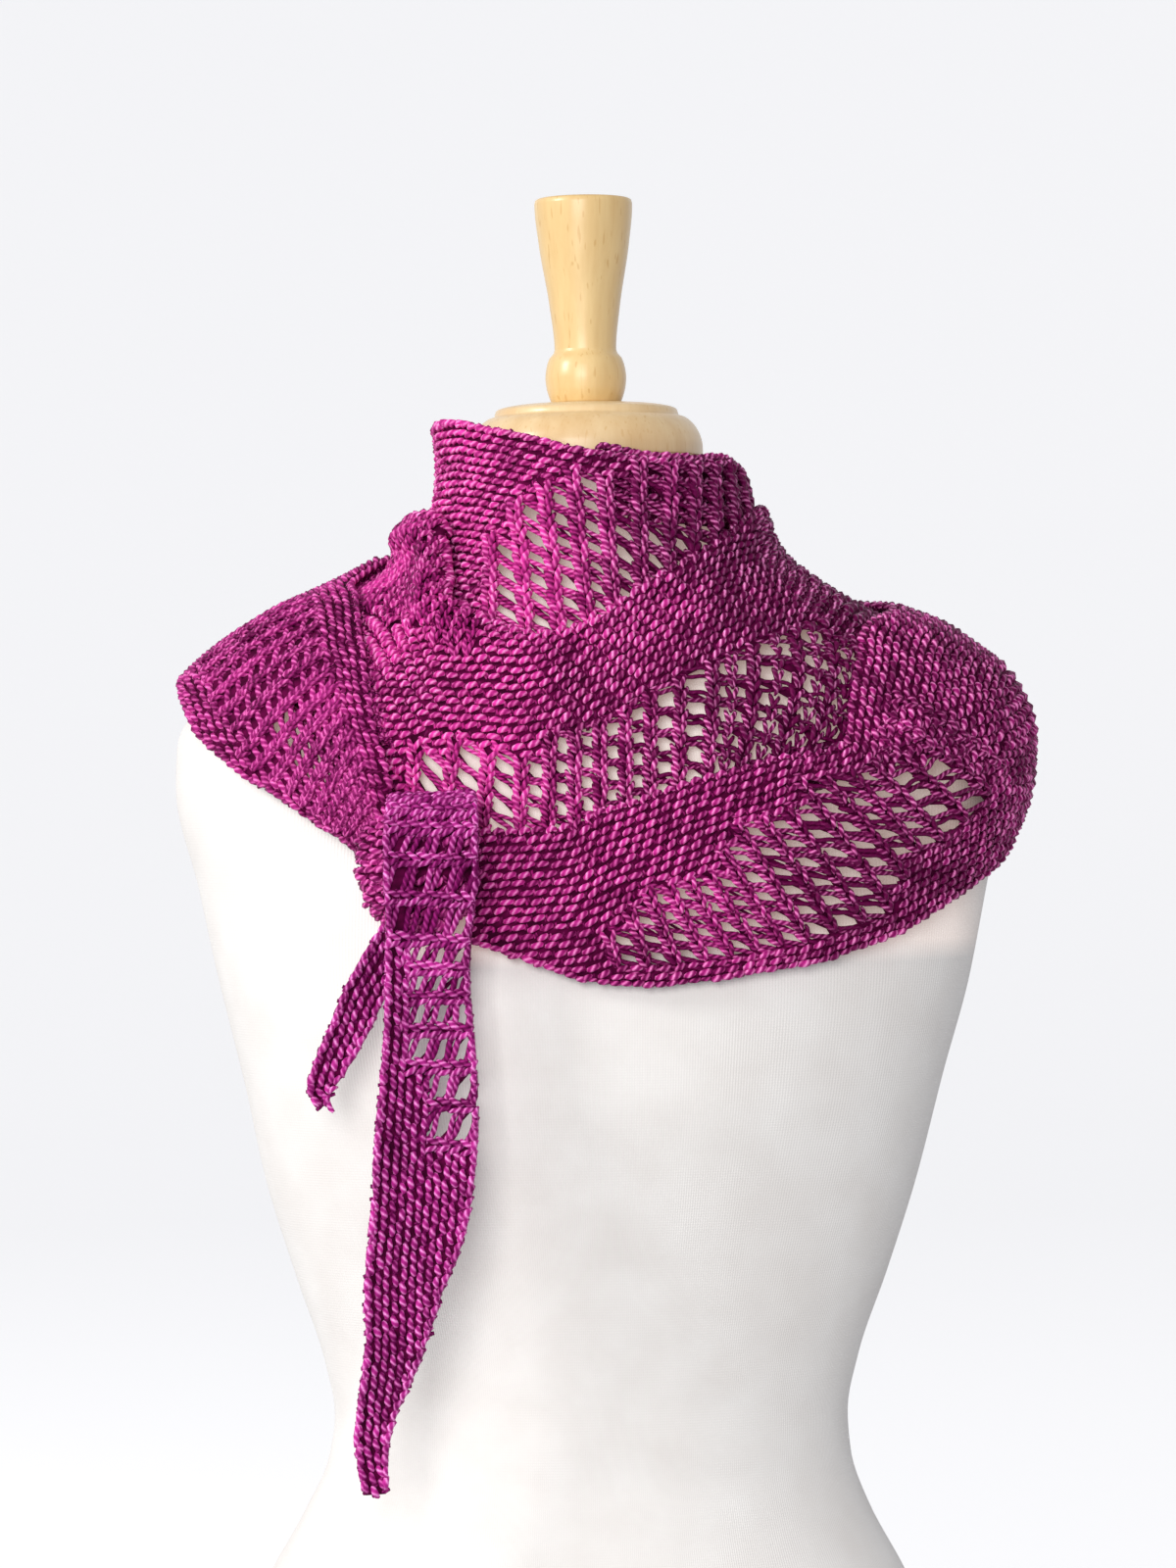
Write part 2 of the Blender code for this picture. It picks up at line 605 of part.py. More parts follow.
def torso(collection, material):
    """The padded form under its jersey, from its flat base to the top of its neck."""
    bm = bmesh.new()
    bmesh.ops.create_uvsphere(bm, u_segments=FORM_SEGMENTS, v_segments=FORM_RINGS + 1, radius=1.0)
    for vert in bm.verts:
        ring = round((1 - np.arccos(np.clip(vert.co.z, -1, 1)) / np.pi) * (FORM_RINGS + 1)) - 1
        if ring < 0 or ring == FORM_RINGS:
            vert.co = (0.0, 0.0, 0.0 if ring < 0 else FORM_TOP)
            continue
        height = np.interp(ring, (0, SHOULDER_RING, FORM_RINGS - 1), (0.0, SHOULDER_HEIGHT, FORM_TOP))
        vert.co = oval(FORM, np.arctan2(vert.co.x, -vert.co.y), height)
        vert.co.x += eased(height, FORM["height"], FORM["shift"])
    mesh = bpy.data.meshes.new("torso")
    bm.to_mesh(mesh)
    bm.free()
    mesh.shade_smooth()
    mesh.set_sharp_from_angle(angle=np.radians(FORM_SHARP_ANGLE))
    mesh.materials.append(material)
    form = bpy.data.objects.new("torso", mesh)
    collection.objects.link(form)
    return form


def turned(name, profile, foot, collection, material):
    """A turned solid, from its profile, standing at its foot's height."""
    mesh = bpy.data.meshes.new(name)
    points = [(radius, 0.0, height) for radius, height in zip(profile["radius"], profile["height"])]
    mesh.from_pydata(points, [(i, i + 1) for i in range(len(points) - 1)], [])
    mesh.materials.append(material)
    piece = bpy.data.objects.new(name, mesh)
    piece.location = (0.0, 0.0, foot)
    collection.objects.link(piece)
    screw = piece.modifiers.new("turning", "SCREW")
    screw.steps = TURNED_STEPS
    screw.render_steps = TURNED_STEPS
    screw.use_merge_vertices = True
    screw.merge_threshold = 0.0001
    screw.use_smooth_shade = True
    return piece


def knot(collection, material):
    """The tied wraps: a flattened ball with level grooves between its wraps."""
    bm = bmesh.new()
    bmesh.ops.create_uvsphere(bm, u_segments=KNOT_SEGMENTS, v_segments=KNOT_RINGS, radius=1.0)
    half = np.array(KNOT_HALF_SIZE)
    turn = np.radians(KNOT_TURN)
    turned_axes = np.array([[np.cos(turn), np.sin(turn), 0], [-np.sin(turn), np.cos(turn), 0], [0, 0, 1]])
    for vert in bm.verts:
        direction = np.array(vert.co)
        full = np.sign(direction) * np.abs(direction) ** KNOT_FULLNESS
        groove = KNOT_WRAP_DEPTH * np.cos(np.pi * KNOT_WRAPS * full[2]) * (1 - full[2] ** 2)
        narrowed = half * (1 + KNOT_TAPER * full[2], 1, 1)
        vert.co = np.array(KNOT_CENTRE) + (full * narrowed + direction * groove) @ turned_axes
    mesh = bpy.data.meshes.new("knot")
    bm.to_mesh(mesh)
    bm.free()
    mesh.shade_smooth()
    mesh.materials.append(material)
    piece = bpy.data.objects.new("knot", mesh)
    collection.objects.link(piece)
    return piece


def finish(name, colour, roughness):
    """A plain Principled material."""
    material = bpy.data.materials.new(name)
    material.use_nodes = True
    shader = material.node_tree.nodes["Principled BSDF"]
    shader.inputs["Base Color"].default_value = colour
    shader.inputs["Roughness"].default_value = roughness
    shader.inputs["Metallic"].default_value = 0.0
    return material


def clear_scene():
    for thing in list(bpy.data.objects):
        bpy.data.objects.remove(thing)


def main():
    clear_scene()
    shawl = bpy.data.collections.new("shawl_on_form")
    bpy.context.scene.collection.children.link(shawl)
    jersey = finish("jersey", JERSEY, 0.9)
    maple = finish("maple", MAPLE, 0.45)

    torso(shawl, jersey)
    cap_foot = FORM_TOP + SEAT_GAP
    turned("neck_cap", CAP, cap_foot, shawl, maple)
    turned("finial", HANDLE, cap_foot + CAP["height"][0] + SEAT_GAP, shawl, maple)

    both = (True, True)
    stretches = (
        ("collar_front", COLLAR_FRONT, NO_FOLDS, COLLAR_PACE, (COLLAR_LACE,), 11, False, both),
        ("collar_back", COLLAR_BACK, NO_FOLDS, None, (), 5, False, both),
        ("cowl_front", COWL_FRONT, COWL_FOLDS, None, (COWL_UPPER_LACE, COWL_LOWER_LACE), 12, True, both),
        ("cowl_back", COWL_BACK, NO_FOLDS, None, (), 5, True, both),
        ("cape_front", CAPE_FRONT, CAPE_FOLDS, None, (CAPE_LACE,), 9, True, (False, True)),
        ("cape_back", CAPE_BACK, BACK_FOLDS, None, (), 6, True, both),
        ("left_drape", LEFT_DRAPE, DRAPE_FOLDS, None, (DRAPE_LACE,), 8, True, (True, False)),
    )
    for name, stations, folds, pace, laces, rows, rolled, seams in stretches:
        yarn = finish(name + "_yarn", MAGENTA, 0.75)
        wound_stretch(name, stations, folds, pace, laces, rows, rolled, seams, shawl, yarn)

    knot(shawl, finish("knot_yarn", MAGENTA, 0.75))
    tail("long_tail", LONG_TAIL, 24, 4, (TAIL_LACE,), shawl, finish("long_tail_yarn", MAGENTA, 0.75))
    tail("short_tail", SHORT_TAIL, 10, 2, (), shawl, finish("short_tail_yarn", MAGENTA, 0.75))


main()
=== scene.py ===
import bpy
import numpy as np
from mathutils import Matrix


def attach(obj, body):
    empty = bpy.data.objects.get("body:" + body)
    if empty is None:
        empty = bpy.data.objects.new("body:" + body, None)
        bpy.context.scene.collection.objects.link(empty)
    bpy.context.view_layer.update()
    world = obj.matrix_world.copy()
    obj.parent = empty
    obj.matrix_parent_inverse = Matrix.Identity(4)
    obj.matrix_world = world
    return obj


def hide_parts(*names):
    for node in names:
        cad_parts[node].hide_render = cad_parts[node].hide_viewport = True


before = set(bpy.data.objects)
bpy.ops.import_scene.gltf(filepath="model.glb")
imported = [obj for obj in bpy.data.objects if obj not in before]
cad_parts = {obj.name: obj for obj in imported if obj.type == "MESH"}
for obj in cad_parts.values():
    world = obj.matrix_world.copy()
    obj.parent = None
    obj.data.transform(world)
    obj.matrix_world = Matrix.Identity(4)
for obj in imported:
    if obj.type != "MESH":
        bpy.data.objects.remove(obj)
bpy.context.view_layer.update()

# The padded dress form in its white jersey cover, in smooth rings from its flat base to the top of its neck.
# The jersey is stretched tight over the padding, and has fine ribs up and down it and hardly any gloss.


def table(columns, *rows, **level):
    """A short table, as one array for each named column. A level column is the same in every row."""
    named = dict(zip(columns.split(), np.array(rows, float).T))
    return named | {name: np.full(len(rows), value) for name, value in level.items()}


def eased(at, stops, values):
    """Smooth curve through the stops that never overshoots them."""
    at = np.clip(at, stops[0], stops[-1])
    gaps = np.diff(stops)
    slopes = np.diff(values) / gaps
    tangents = np.concatenate([slopes[:1], np.zeros(len(slopes) - 1), slopes[-1:]])
    for i in range(1, len(slopes)):
        before, after = slopes[i - 1], slopes[i]
        if before * after > 0:
            weight_a = 2 * gaps[i] + gaps[i - 1]
            weight_b = gaps[i] + 2 * gaps[i - 1]
            tangents[i] = (weight_a + weight_b) / (weight_a / before + weight_b / after)
    i = np.clip(np.searchsorted(stops, at, side="right") - 1, 0, len(gaps) - 1)
    t = (at - stops[i]) / gaps[i]
    start = (2 * t**3 - 3 * t**2 + 1) * values[i] + (t**3 - 2 * t**2 + t) * gaps[i] * tangents[i]
    end = (3 * t**2 - 2 * t**3) * values[i + 1] + (t**3 - t**2) * gaps[i] * tangents[i + 1]
    return start + end


def read(columns, key, at):
    """Every other column of a table at the given places along its key column."""
    return {name: eased(at, columns[key], values) for name, values in columns.items() if name != key}


def unit(vectors):
    return vectors / np.maximum(np.linalg.norm(vectors, axis=-1, keepdims=True), 1e-9)


def oval(rings, angle, height):
    """Point on a ring table's surface. The angle is in radians round from the front."""
    ring = read(rings, "height", height)
    depth = np.where(np.cos(angle) > 0, ring["front"], ring["back"])
    across = np.abs(np.sin(angle) / ring["half_width"]) ** ring["squareness"]
    along = np.abs(np.cos(angle) / depth) ** ring["squareness"]
    radius = (across + along) ** (-1 / ring["squareness"])
    return np.stack([radius * np.sin(angle), -radius * np.cos(angle), height + 0 * radius], -1)


class Socket:
    """A shader socket to reckon with: arithmetic adds Math nodes, and node adds any other kind."""

    def __init__(self, tree, socket=None):
        self.tree, self.socket = tree, socket

    def node(self, kind, settings, inputs, output=0):
        made = self.tree.nodes.new("ShaderNode" + kind)
        for name, value in settings.items():
            setattr(made, name, value)
        for name, value in inputs.items():
            if isinstance(value, Socket):
                self.tree.links.new(value.socket, made.inputs[name])
            else:
                made.inputs[name].default_value = value
        return Socket(self.tree, made.outputs[output])

    def maths(self, operation, *others):
        return self.node("Math", {"operation": operation}, dict(enumerate((self,) + others)))

    def part(self, axis):
        """One axis of a place."""
        return self.node("SeparateXYZ", {}, {0: self}, axis)

    def between(self, low, high, colour_low, colour_high):
        """A colour that goes from one to another as this number goes from low to high."""
        share = self.node("MapRange", {}, {"Value": self, "From Min": low, "From Max": high})
        return self.node("Mix", {"data_type": "RGBA"}, {0: share, 6: colour_low, 7: colour_high}, 2)

    def __add__(self, other):
        return self.maths("ADD", other)

    def __sub__(self, other):
        return self.maths("SUBTRACT", other)

    def __mul__(self, other):
        return self.maths("MULTIPLY", other)

    def __truediv__(self, other):
        return self.maths("DIVIDE", other)

    def __rsub__(self, other):
        return self.node("Math", {"operation": "SUBTRACT"}, {0: other, 1: self})

    def __rtruediv__(self, other):
        return self.node("Math", {"operation": "DIVIDE"}, {0: other, 1: self})

    __radd__ = __add__
    __rmul__ = __mul__


def material(name, **plain):
    """A new Principled material with its plain values set, and a socket to start its nodes from."""
    made = bpy.data.materials.new(name)
    made.use_nodes = True
    shader = made.node_tree.nodes["Principled BSDF"]
    for key, value in plain.items():
        shader.inputs[key.replace("_", " ")].default_value = value
    return made, Socket(made.node_tree)


def feed(made, **varying):
    """Joins varying values to the shader's own inputs."""
    shader = made.node_tree.nodes["Principled BSDF"]
    for key, value in varying.items():
        made.node_tree.links.new(value.socket, shader.inputs[key.replace("_", " ")])


def piece(name, points, faces, made, thread=None, tone=None):
    """A smooth mesh piece of the object. Yarn has thread coordinates at its face corners and a tone."""
    mesh = bpy.data.meshes.new(name)
    faces = faces if isinstance(faces, list) else faces.tolist()
    mesh.from_pydata(points.reshape(-1, 3).tolist(), [], faces)
    mesh.shade_smooth()
    mesh.materials.append(made)
    if thread is not None:
        corners = mesh.uv_layers.new(name="thread").uv
        corners.foreach_set("vector", np.ascontiguousarray(thread, np.float32).ravel())
        tones = mesh.attributes.new("tone", "FLOAT", "POINT").data
        tones.foreach_set("value", np.asarray(tone, np.float32).ravel())
    made_object = bpy.data.objects.new(name, mesh)
    bpy.context.scene.collection.objects.link(made_object)
    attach(made_object, "root")
    return made_object


def wrapped(shape, caps):
    """Faces over rings of points, each closed on itself, with a flat polygon at either end if asked."""
    index = np.arange(shape[0] * shape[1]).reshape(shape)
    following = np.roll(index, -1, axis=1)
    faces = np.stack([index[:-1], following[:-1], following[1:], index[1:]], -1).reshape(-1, 4).tolist()
    if caps:
        faces += [index[0, ::-1].tolist(), index[-1].tolist()]
    return faces


FORM = table(
    "height half_width front back squareness shift",
    (0.000, 0.1780, 0.104, 0.116, 2.30, -0.0085),
    (0.040, 0.1800, 0.106, 0.118, 2.30, -0.0085),
    (0.080, 0.1765, 0.104, 0.114, 2.30, -0.0085),
    (0.120, 0.1670, 0.099, 0.106, 2.25, -0.0085),
    (0.160, 0.1490, 0.093, 0.096, 2.20, -0.0083),
    (0.190, 0.1325, 0.088, 0.088, 2.15, -0.0075),
    (0.215, 0.1225, 0.085, 0.084, 2.15, -0.0057),
    (0.235, 0.1203, 0.085, 0.083, 2.15, -0.0047),
    (0.260, 0.1250, 0.087, 0.083, 2.15, -0.0042),
    (0.300, 0.1385, 0.094, 0.087, 2.20, -0.0034),
    (0.345, 0.1526, 0.105, 0.093, 2.25, -0.0027),
    (0.391, 0.1635, 0.115, 0.099, 2.30, -0.0012),
    (0.437, 0.1755, 0.119, 0.103, 2.30, 0.0000),
    (0.483, 0.1850, 0.115, 0.106, 2.30, 0.0000),
    (0.529, 0.1950, 0.107, 0.105, 2.30, 0.0000),
    (0.550, 0.1940, 0.103, 0.103, 2.25, 0.0000),
    (0.566, 0.1860, 0.098, 0.100, 2.20, 0.0000),
    (0.578, 0.1720, 0.093, 0.096, 2.15, 0.0000),
    (0.588, 0.1560, 0.088, 0.091, 2.10, 0.0000),
    (0.598, 0.1350, 0.082, 0.086, 2.05, 0.0000),
    (0.608, 0.1120, 0.077, 0.080, 2.00, 0.0000),
    (0.618, 0.0920, 0.071, 0.074, 2.00, 0.0000),
    (0.630, 0.0750, 0.065, 0.068, 2.00, 0.0000),
    (0.645, 0.0620, 0.059, 0.061, 2.00, 0.0000),
    (0.665, 0.0560, 0.055, 0.056, 2.00, 0.0000),
    (0.681, 0.0540, 0.054, 0.054, 2.00, 0.0000),
)
FORM_TOP = 0.681
ROUNDED_EDGE = 0.985
JERSEY_RIBS = 640.0
JERSEY_ROWS = 5200.0  # radians to a metre
JERSEY_SHADE, JERSEY_PALE = (0.83, 0.795, 0.765, 1), (0.90, 0.875, 0.85, 1)
UNLIT, WARM = (0.0, 0.0, 0.0, 1), (1.0, 0.72, 0.60, 1)

jersey, start = material(
    "jersey_cover",
    Emission_Strength=0.26,
    Roughness=0.88,
    Sheen_Weight=0.25,
    Sheen_Roughness=0.6,
    Specular_IOR_Level=0.25,
)
place = start.node("TexCoord", {}, {}, "Object")
across, depth, height = (place.part(axis) for axis in "XYZ")
ribs = (across.maths("ARCTAN2", depth) * JERSEY_RIBS).maths("SINE")
rows = (height * JERSEY_ROWS).maths("SINE")
mottle = start.node("TexNoise", {}, {"Vector": place, "Scale": 34.0, "Detail": 3.0})
knit = ribs * 0.7 + rows * 0.3 + mottle * 0.6
# The mottle varies at random; the ribs make the colour a little darker in their grooves, painted shade.
colour = (mottle + ribs * 0.05).between(0.3, 0.75, JERSEY_SHADE, JERSEY_PALE)

# Painted light: the jersey behind the lace glows a little, for the light that gets through and round the
# yarn.
behind_drape = (height + across * 0.68).between(0.442, 0.452, UNLIT, WARM)
behind_cape = height.between(0.446, 0.456, UNLIT, WARM)
behind_back = (height - across.maths("ABSOLUTE") * 0.4).between(0.500, 0.512, UNLIT, WARM)
in_front = across.between(-0.105, -0.085, behind_drape, behind_cape)
in_front = across.between(0.165, 0.185, in_front, UNLIT)
glow = depth.between(-0.02, 0.0, in_front, behind_back)
relief = start.node("Bump", {}, {"Strength": 0.25, "Distance": 0.0003, "Height": knit})
feed(jersey, Base_Color=colour, Emission_Color=glow, Normal=relief)

levels = np.concatenate([[0.0, 0.0012], np.linspace(0.004, 0.6795, 150), [FORM_TOP]])
drawn_in = np.concatenate([[ROUNDED_EDGE, 0.997], np.ones(150), [ROUNDED_EDGE]])
angles = np.radians(np.arange(0, 360, 3.0))
form_points = np.array([oval(FORM, angles, level) for level in levels])
form_points[..., :2] *= drawn_in[:, None, None]
form_points[..., 0] += eased(levels, FORM["height"], FORM["shift"])[:, None]
cover = piece("jersey_form", form_points, wrapped(form_points.shape[:2], True), jersey)
cover.data.set_sharp_from_angle(angle=np.radians(60))
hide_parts("torso")

# The turned cap on the neck and the turned handle on it, pale maple under satin varnish. The grain runs up
# both, with short dark flecks. The handle stands on the cap, and the cap closes the form's neck.

PROFILE_STEPS = 90
SMALLEST_RADIUS = 0.00005


def turned(name, profile, foot, made, node):
    """A turned piece from its profile, smooth between its rows and sharp at its narrow steps."""
    radius, height = profile["radius"], profile["height"]
    reach = np.concatenate([[0], np.cumsum(np.hypot(np.diff(radius), np.diff(height)))])
    along = np.unique(np.concatenate([reach, np.linspace(0, reach[-1], PROFILE_STEPS)]))
    radii = np.maximum(eased(along, reach, radius), SMALLEST_RADIUS)[:, None]
    levels = eased(along, reach, height)[:, None] + foot
    around = np.radians(np.arange(0, 360, 4.0))[None]
    points = np.stack([radii * np.cos(around), radii * np.sin(around), levels + 0 * around], -1)
    made_piece = piece(name, points[::-1], wrapped(points.shape[:2], True), made)
    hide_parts(node)


def maple(name, light, dark):
    """Varnished maple of two tones, its grain running up."""
    made, start = material(
        name, Roughness=0.38, Coat_Weight=0.35, Coat_Roughness=0.22, Specular_IOR_Level=0.45
    )
    place = start.node("TexCoord", {}, {}, "Object")

    def drawn_out(*scale):
        return start.node("Mapping", {}, {"Vector": place, "Scale": scale})

    streaks, bands = drawn_out(230.0, 230.0, 9.0), drawn_out(34.0, 34.0, 3.0)
    specks = drawn_out(760.0, 760.0, 95.0)
    grain = start.node("TexNoise", {}, {"Vector": streaks, "Scale": 1.0, "Detail": 3.0, "Roughness": 0.6})
    figure = start.node("TexNoise", {}, {"Vector": bands, "Scale": 1.0, "Detail": 2.0, "Distortion": 0.6})
    flecks = start.node("TexNoise", {}, {"Vector": specks, "Scale": 1.0, "Detail": 0.0})
    flecked = start.node("MapRange", {}, {"Value": flecks, "From Min": 0.70, "From Max": 0.78})
    wood = (figure * 0.65 + grain * 0.35 - flecked * 0.22).between(0.30, 0.66, dark, light)
    pores = grain - flecked * 0.5
    relief = start.node("Bump", {}, {"Strength": 0.12, "Distance": 0.0002, "Height": pores})
    feed(made, Base_Color=wood, Normal=relief)
    return made


CAP = table(
    "radius height",
    (0.0000, 0.0260),
    (0.0300, 0.0255),
    (0.0405, 0.0240),
    (0.0424, 0.0230),
    (0.0430, 0.0215),
    (0.0433, 0.0203),
    (0.0462, 0.0192),
    (0.0490, 0.0172),
    (0.0515, 0.0142),
    (0.0534, 0.0104),
    (0.0544, 0.0060),
    (0.0545, 0.0010),
    (0.0535, 0.0000),
    (0.0000, 0.0000),
)
CAP_FOOT = 0.6813
CAP_PALE, CAP_DEEP = (0.80, 0.60, 0.34, 1), (0.68, 0.45, 0.21, 1)
HANDLE = table(
    "radius height",
    (0.0000, 0.0962),
    (0.0205, 0.0962),
    (0.0225, 0.0953),
    (0.0230, 0.0935),
    (0.0211, 0.0740),
    (0.0166, 0.0460),
    (0.0145, 0.0252),
    (0.0150, 0.0236),
    (0.0170, 0.0212),
    (0.0184, 0.0170),
    (0.0190, 0.0120),
    (0.0185, 0.0072),
    (0.0175, 0.0034),
    (0.0166, 0.0010),
    (0.0160, 0.0000),
    (0.0000, 0.0000),
)
HANDLE_FOOT = 0.7076
HANDLE_PALE, HANDLE_DEEP = (0.80, 0.58, 0.27, 1), (0.64, 0.40, 0.15, 1)

turned("turned_cap", CAP, CAP_FOOT, maple("maple_cap", CAP_PALE, CAP_DEEP), "neck_cap")
turned("turned_handle", HANDLE, HANDLE_FOOT, maple("maple_handle", HANDLE_PALE, HANDLE_DEEP), "finial")

# The collar's front, the shawl's first wind, stands up round the neck: close garter rows with a band of mesh
# lace. As in every stretch of the shawl, a thin backing, painted dark as the shade between the stitches, is
# cut through at the lace, and the stitches lie on it as separate threads of plied yarn.

# A station is a rib down the cloth, from its high edge to its low one, and lifts are distances off the drape.
# A lace opens from its start row to its end row at a rib, and the pace spaces the rows out where they show.
# The drape is a smooth surface just outside the form, from its chest to the top of its neck.
OUTLINE = "rib high_angle high_height low_angle low_height"
STATION = OUTLINE + " high_lift mid_lift low_lift"
FOLD = "start_rib start_share end_rib end_share width rise"
PACE = "rib shown_rows shown_share"
LACE = "rib start end"
DRAPE = table(
    "height half_width front back squareness",
    (0.425, 0.1740, 0.1205, 0.1040, 2.30),
    (0.440, 0.1775, 0.1205, 0.1050, 2.30),
    (0.460, 0.1820, 0.1195, 0.1065, 2.30),
    (0.483, 0.1870, 0.1170, 0.1080, 2.30),
    (0.505, 0.1920, 0.1130, 0.1080, 2.30),
    (0.529, 0.1970, 0.1090, 0.1070, 2.30),
    (0.550, 0.1960, 0.1050, 0.1050, 2.25),
    (0.566, 0.1880, 0.1010, 0.1020, 2.20),
    (0.578, 0.1750, 0.0965, 0.0985, 2.20),
    (0.588, 0.1600, 0.0925, 0.0940, 2.10),
    (0.598, 0.1410, 0.0885, 0.0895, 2.05),
    (0.608, 0.1210, 0.0845, 0.0850, 2.00),
    (0.618, 0.1020, 0.0810, 0.0810, 2.00),
    (0.628, 0.0880, 0.0780, 0.0780, 2.00),
    (0.640, 0.0800, 0.0755, 0.0755, 2.00),
    (0.655, 0.0755, 0.0735, 0.0730, 2.00),
    (0.680, 0.0710, 0.0710, 0.0700, 2.00),
    (0.720, 0.0695, 0.0695, 0.0690, 2.00),
)
NO_FOLDS = table(FOLD, (0.0, 0.0, 1.0, 0.0, 0.010, 0.0))
ROLL_RADIUS = 0.0032
ROLL_TURN = np.radians(115.0)
LINES_TO_RIB = 8
LINES_ACROSS = 65
LINES_IN_ROLL = 8
RIB_HALF_WIDTH = 0.15
BACKING_DEPTH = 0.0003
BACKING_THICKNESS = 0.0010
QUARTERS = 4


def lifted(angle, height, lift):
    """Point off the drape surface, out along its normal."""
    round_it = oval(DRAPE, angle + 0.01, height) - oval(DRAPE, angle - 0.01, height)
    up_it = oval(DRAPE, angle, height + 0.0015) - oval(DRAPE, angle, height - 0.0015)
    return oval(DRAPE, angle, height) + unit(np.cross(round_it, up_it)) * lift[..., None]


def fold_lift(folds, rib, share, length):
    """Height of the soft folds at a rib and a share of the way down it."""
    total = np.zeros_like(share)
    for i in range(len(folds["rise"])):
        start, end = folds["start_rib"][i], folds["end_rib"][i]
        along = np.clip((rib - start) / (end - start), 0, 1)
        middle = folds["start_share"][i] + (folds["end_share"][i] - folds["start_share"][i]) * along
        fade = np.sin(np.pi * np.clip((rib - start + 1) / (end - start + 2), 0, 1)) ** 0.5
        off = (share - middle) * length / folds["width"][i]
        total += folds["rise"][i] * fade * np.exp(-(off**2))
    return total


class Skin:
    """A smooth cloth surface, read at any rib and any way across it.

    Ways from -1 to 0 are its rolled edge, and those from 0 to 1 the rest of it.
    """

    def __init__(self, points, ribs, ways, rows, pace=None, outward=1):
        self.points, self.ribs, self.ways, self.rows, self.pace = points, ribs, ways, rows, pace
        self.round_it, self.down = np.gradient(points, axis=0), np.gradient(points, axis=1)
        self.out = unit(np.cross(self.down, self.round_it)) * outward
        flat = points[:, ways >= 0]
        self.length = np.linalg.norm(np.diff(flat, axis=1), axis=2).sum(axis=1)

    def read(self, grid, rib, way):
        i = np.interp(rib, self.ribs, np.arange(len(self.ribs)))
        j = np.interp(way, self.ways, np.arange(len(self.ways)))
        i0, j0 = np.minimum(i.astype(int), len(self.ribs) - 2), np.minimum(j.astype(int), len(self.ways) - 2)
        s, t = (i - i0)[..., None], (j - j0)[..., None]
        near = grid[i0, j0] * (1 - t) + grid[i0, j0 + 1] * t
        far = grid[i0 + 1, j0] * (1 - t) + grid[i0 + 1, j0 + 1] * t
        return near * (1 - s) + far * s

    def at(self, rib, way, lift=0.0):
        lift = np.asarray(lift)[..., None] if np.ndim(lift) else lift
        return self.read(self.points, rib, way) + unit(self.read(self.out, rib, way)) * lift

    def way_of_row(self, rib, row):
        if self.pace is None:
            return row / self.rows + 0 * rib
        shown = read(self.pace, "rib", rib)
        above = row / shown["shown_rows"] * shown["shown_share"]
        below = (row - shown["shown_rows"]) / (self.rows - shown["shown_rows"]) * (1 - shown["shown_share"])
        return np.where(row < shown["shown_rows"], above, shown["shown_share"] + below)

    def row_of_way(self, rib, way):
        if self.pace is None:
            return way * self.rows
        shown = read(self.pace, "rib", rib)
        above = way / shown["shown_share"] * shown["shown_rows"]
        below = (way - shown["shown_share"]) / (1 - shown["shown_share"]) * (self.rows - shown["shown_rows"])
        return np.where(way < shown["shown_share"], above, shown["shown_rows"] + below)

    def way_of_distance(self, rib, distance):
        """The way across for a distance from the high edge, over one when it is past the low edge."""
        length = np.interp(rib, self.ribs, self.length)
        return np.where(distance < 0, distance / (ROLL_RADIUS * ROLL_TURN), distance / length)


def wound(stations, rows, folds=NO_FOLDS, rolled=True, pace=None):
    """The surface of a stretch that goes round the form."""
    ribs = np.arange(0, stations["rib"][-1] + 0.01, 1 / LINES_TO_RIB)
    place = {name: values[:, None] for name, values in read(stations, "rib", ribs).items()}
    high, low = np.radians(place["high_angle"]), np.radians(place["low_angle"])

    def at(way, length):
        lift = (
            place["high_lift"] * (1 - way) * (1 - 2 * way)
            + place["mid_lift"] * 4 * way * (1 - way)
            + place["low_lift"] * way * (2 * way - 1)
        )
        height = place["high_height"] + (place["low_height"] - place["high_height"]) * way
        return lifted(high + (low - high) * way, height, lift + fold_lift(folds, ribs[:, None], way, length))

    fine = np.linspace(0, 1, 97)
    way = np.broadcast_to(fine, (len(ribs), len(fine)))
    length = np.linalg.norm(np.diff(at(way, 1.0), axis=1), axis=2).sum(axis=1)[:, None]
    steps = np.linalg.norm(np.diff(at(way, length), axis=1), axis=2)
    travelled = np.concatenate([0 * length, np.cumsum(steps, axis=1)], axis=1)
    ways = np.linspace(0, 1, LINES_ACROSS)
    way = np.array([np.interp(ways * line[-1], line, fine) for line in travelled])
    points = at(way, length)
    if rolled:
        up = unit(points[:, 0] - at(way * 0 + 0.02, length)[:, 0])
        side = np.concatenate([np.cos(high), np.sin(high), 0 * high], axis=1)
        out = unit(np.cross(side, up))
        turns = np.linspace(ROLL_TURN, 0, LINES_IN_ROLL + 1)[None, :-1, None]
        roll = ROLL_RADIUS * (np.sin(turns) * up[:, None] + (np.cos(turns) - 1) * out[:, None])
        points = np.concatenate([points[:, :1] + roll, points], axis=1)
        ways = np.concatenate([np.linspace(-1, 0, LINES_IN_ROLL + 1)[:-1], ways])
    return Skin(points, ribs, ways, rows, pace)


def open_cells(laces, rib, row):
    """Whether the cell of the lace grid below a rib number and a row number is open."""
    found = np.zeros(np.broadcast(rib, row).shape, bool)
    for lace in laces:
        band = read(lace, "rib", rib + 0.5)
        across = (rib + 0.5 >= lace["rib"][0]) & (rib + 0.5 <= lace["rib"][-1])
        found |= across & (row + 0.5 >= band["start"]) & (row + 0.5 <= band["end"])
    return found


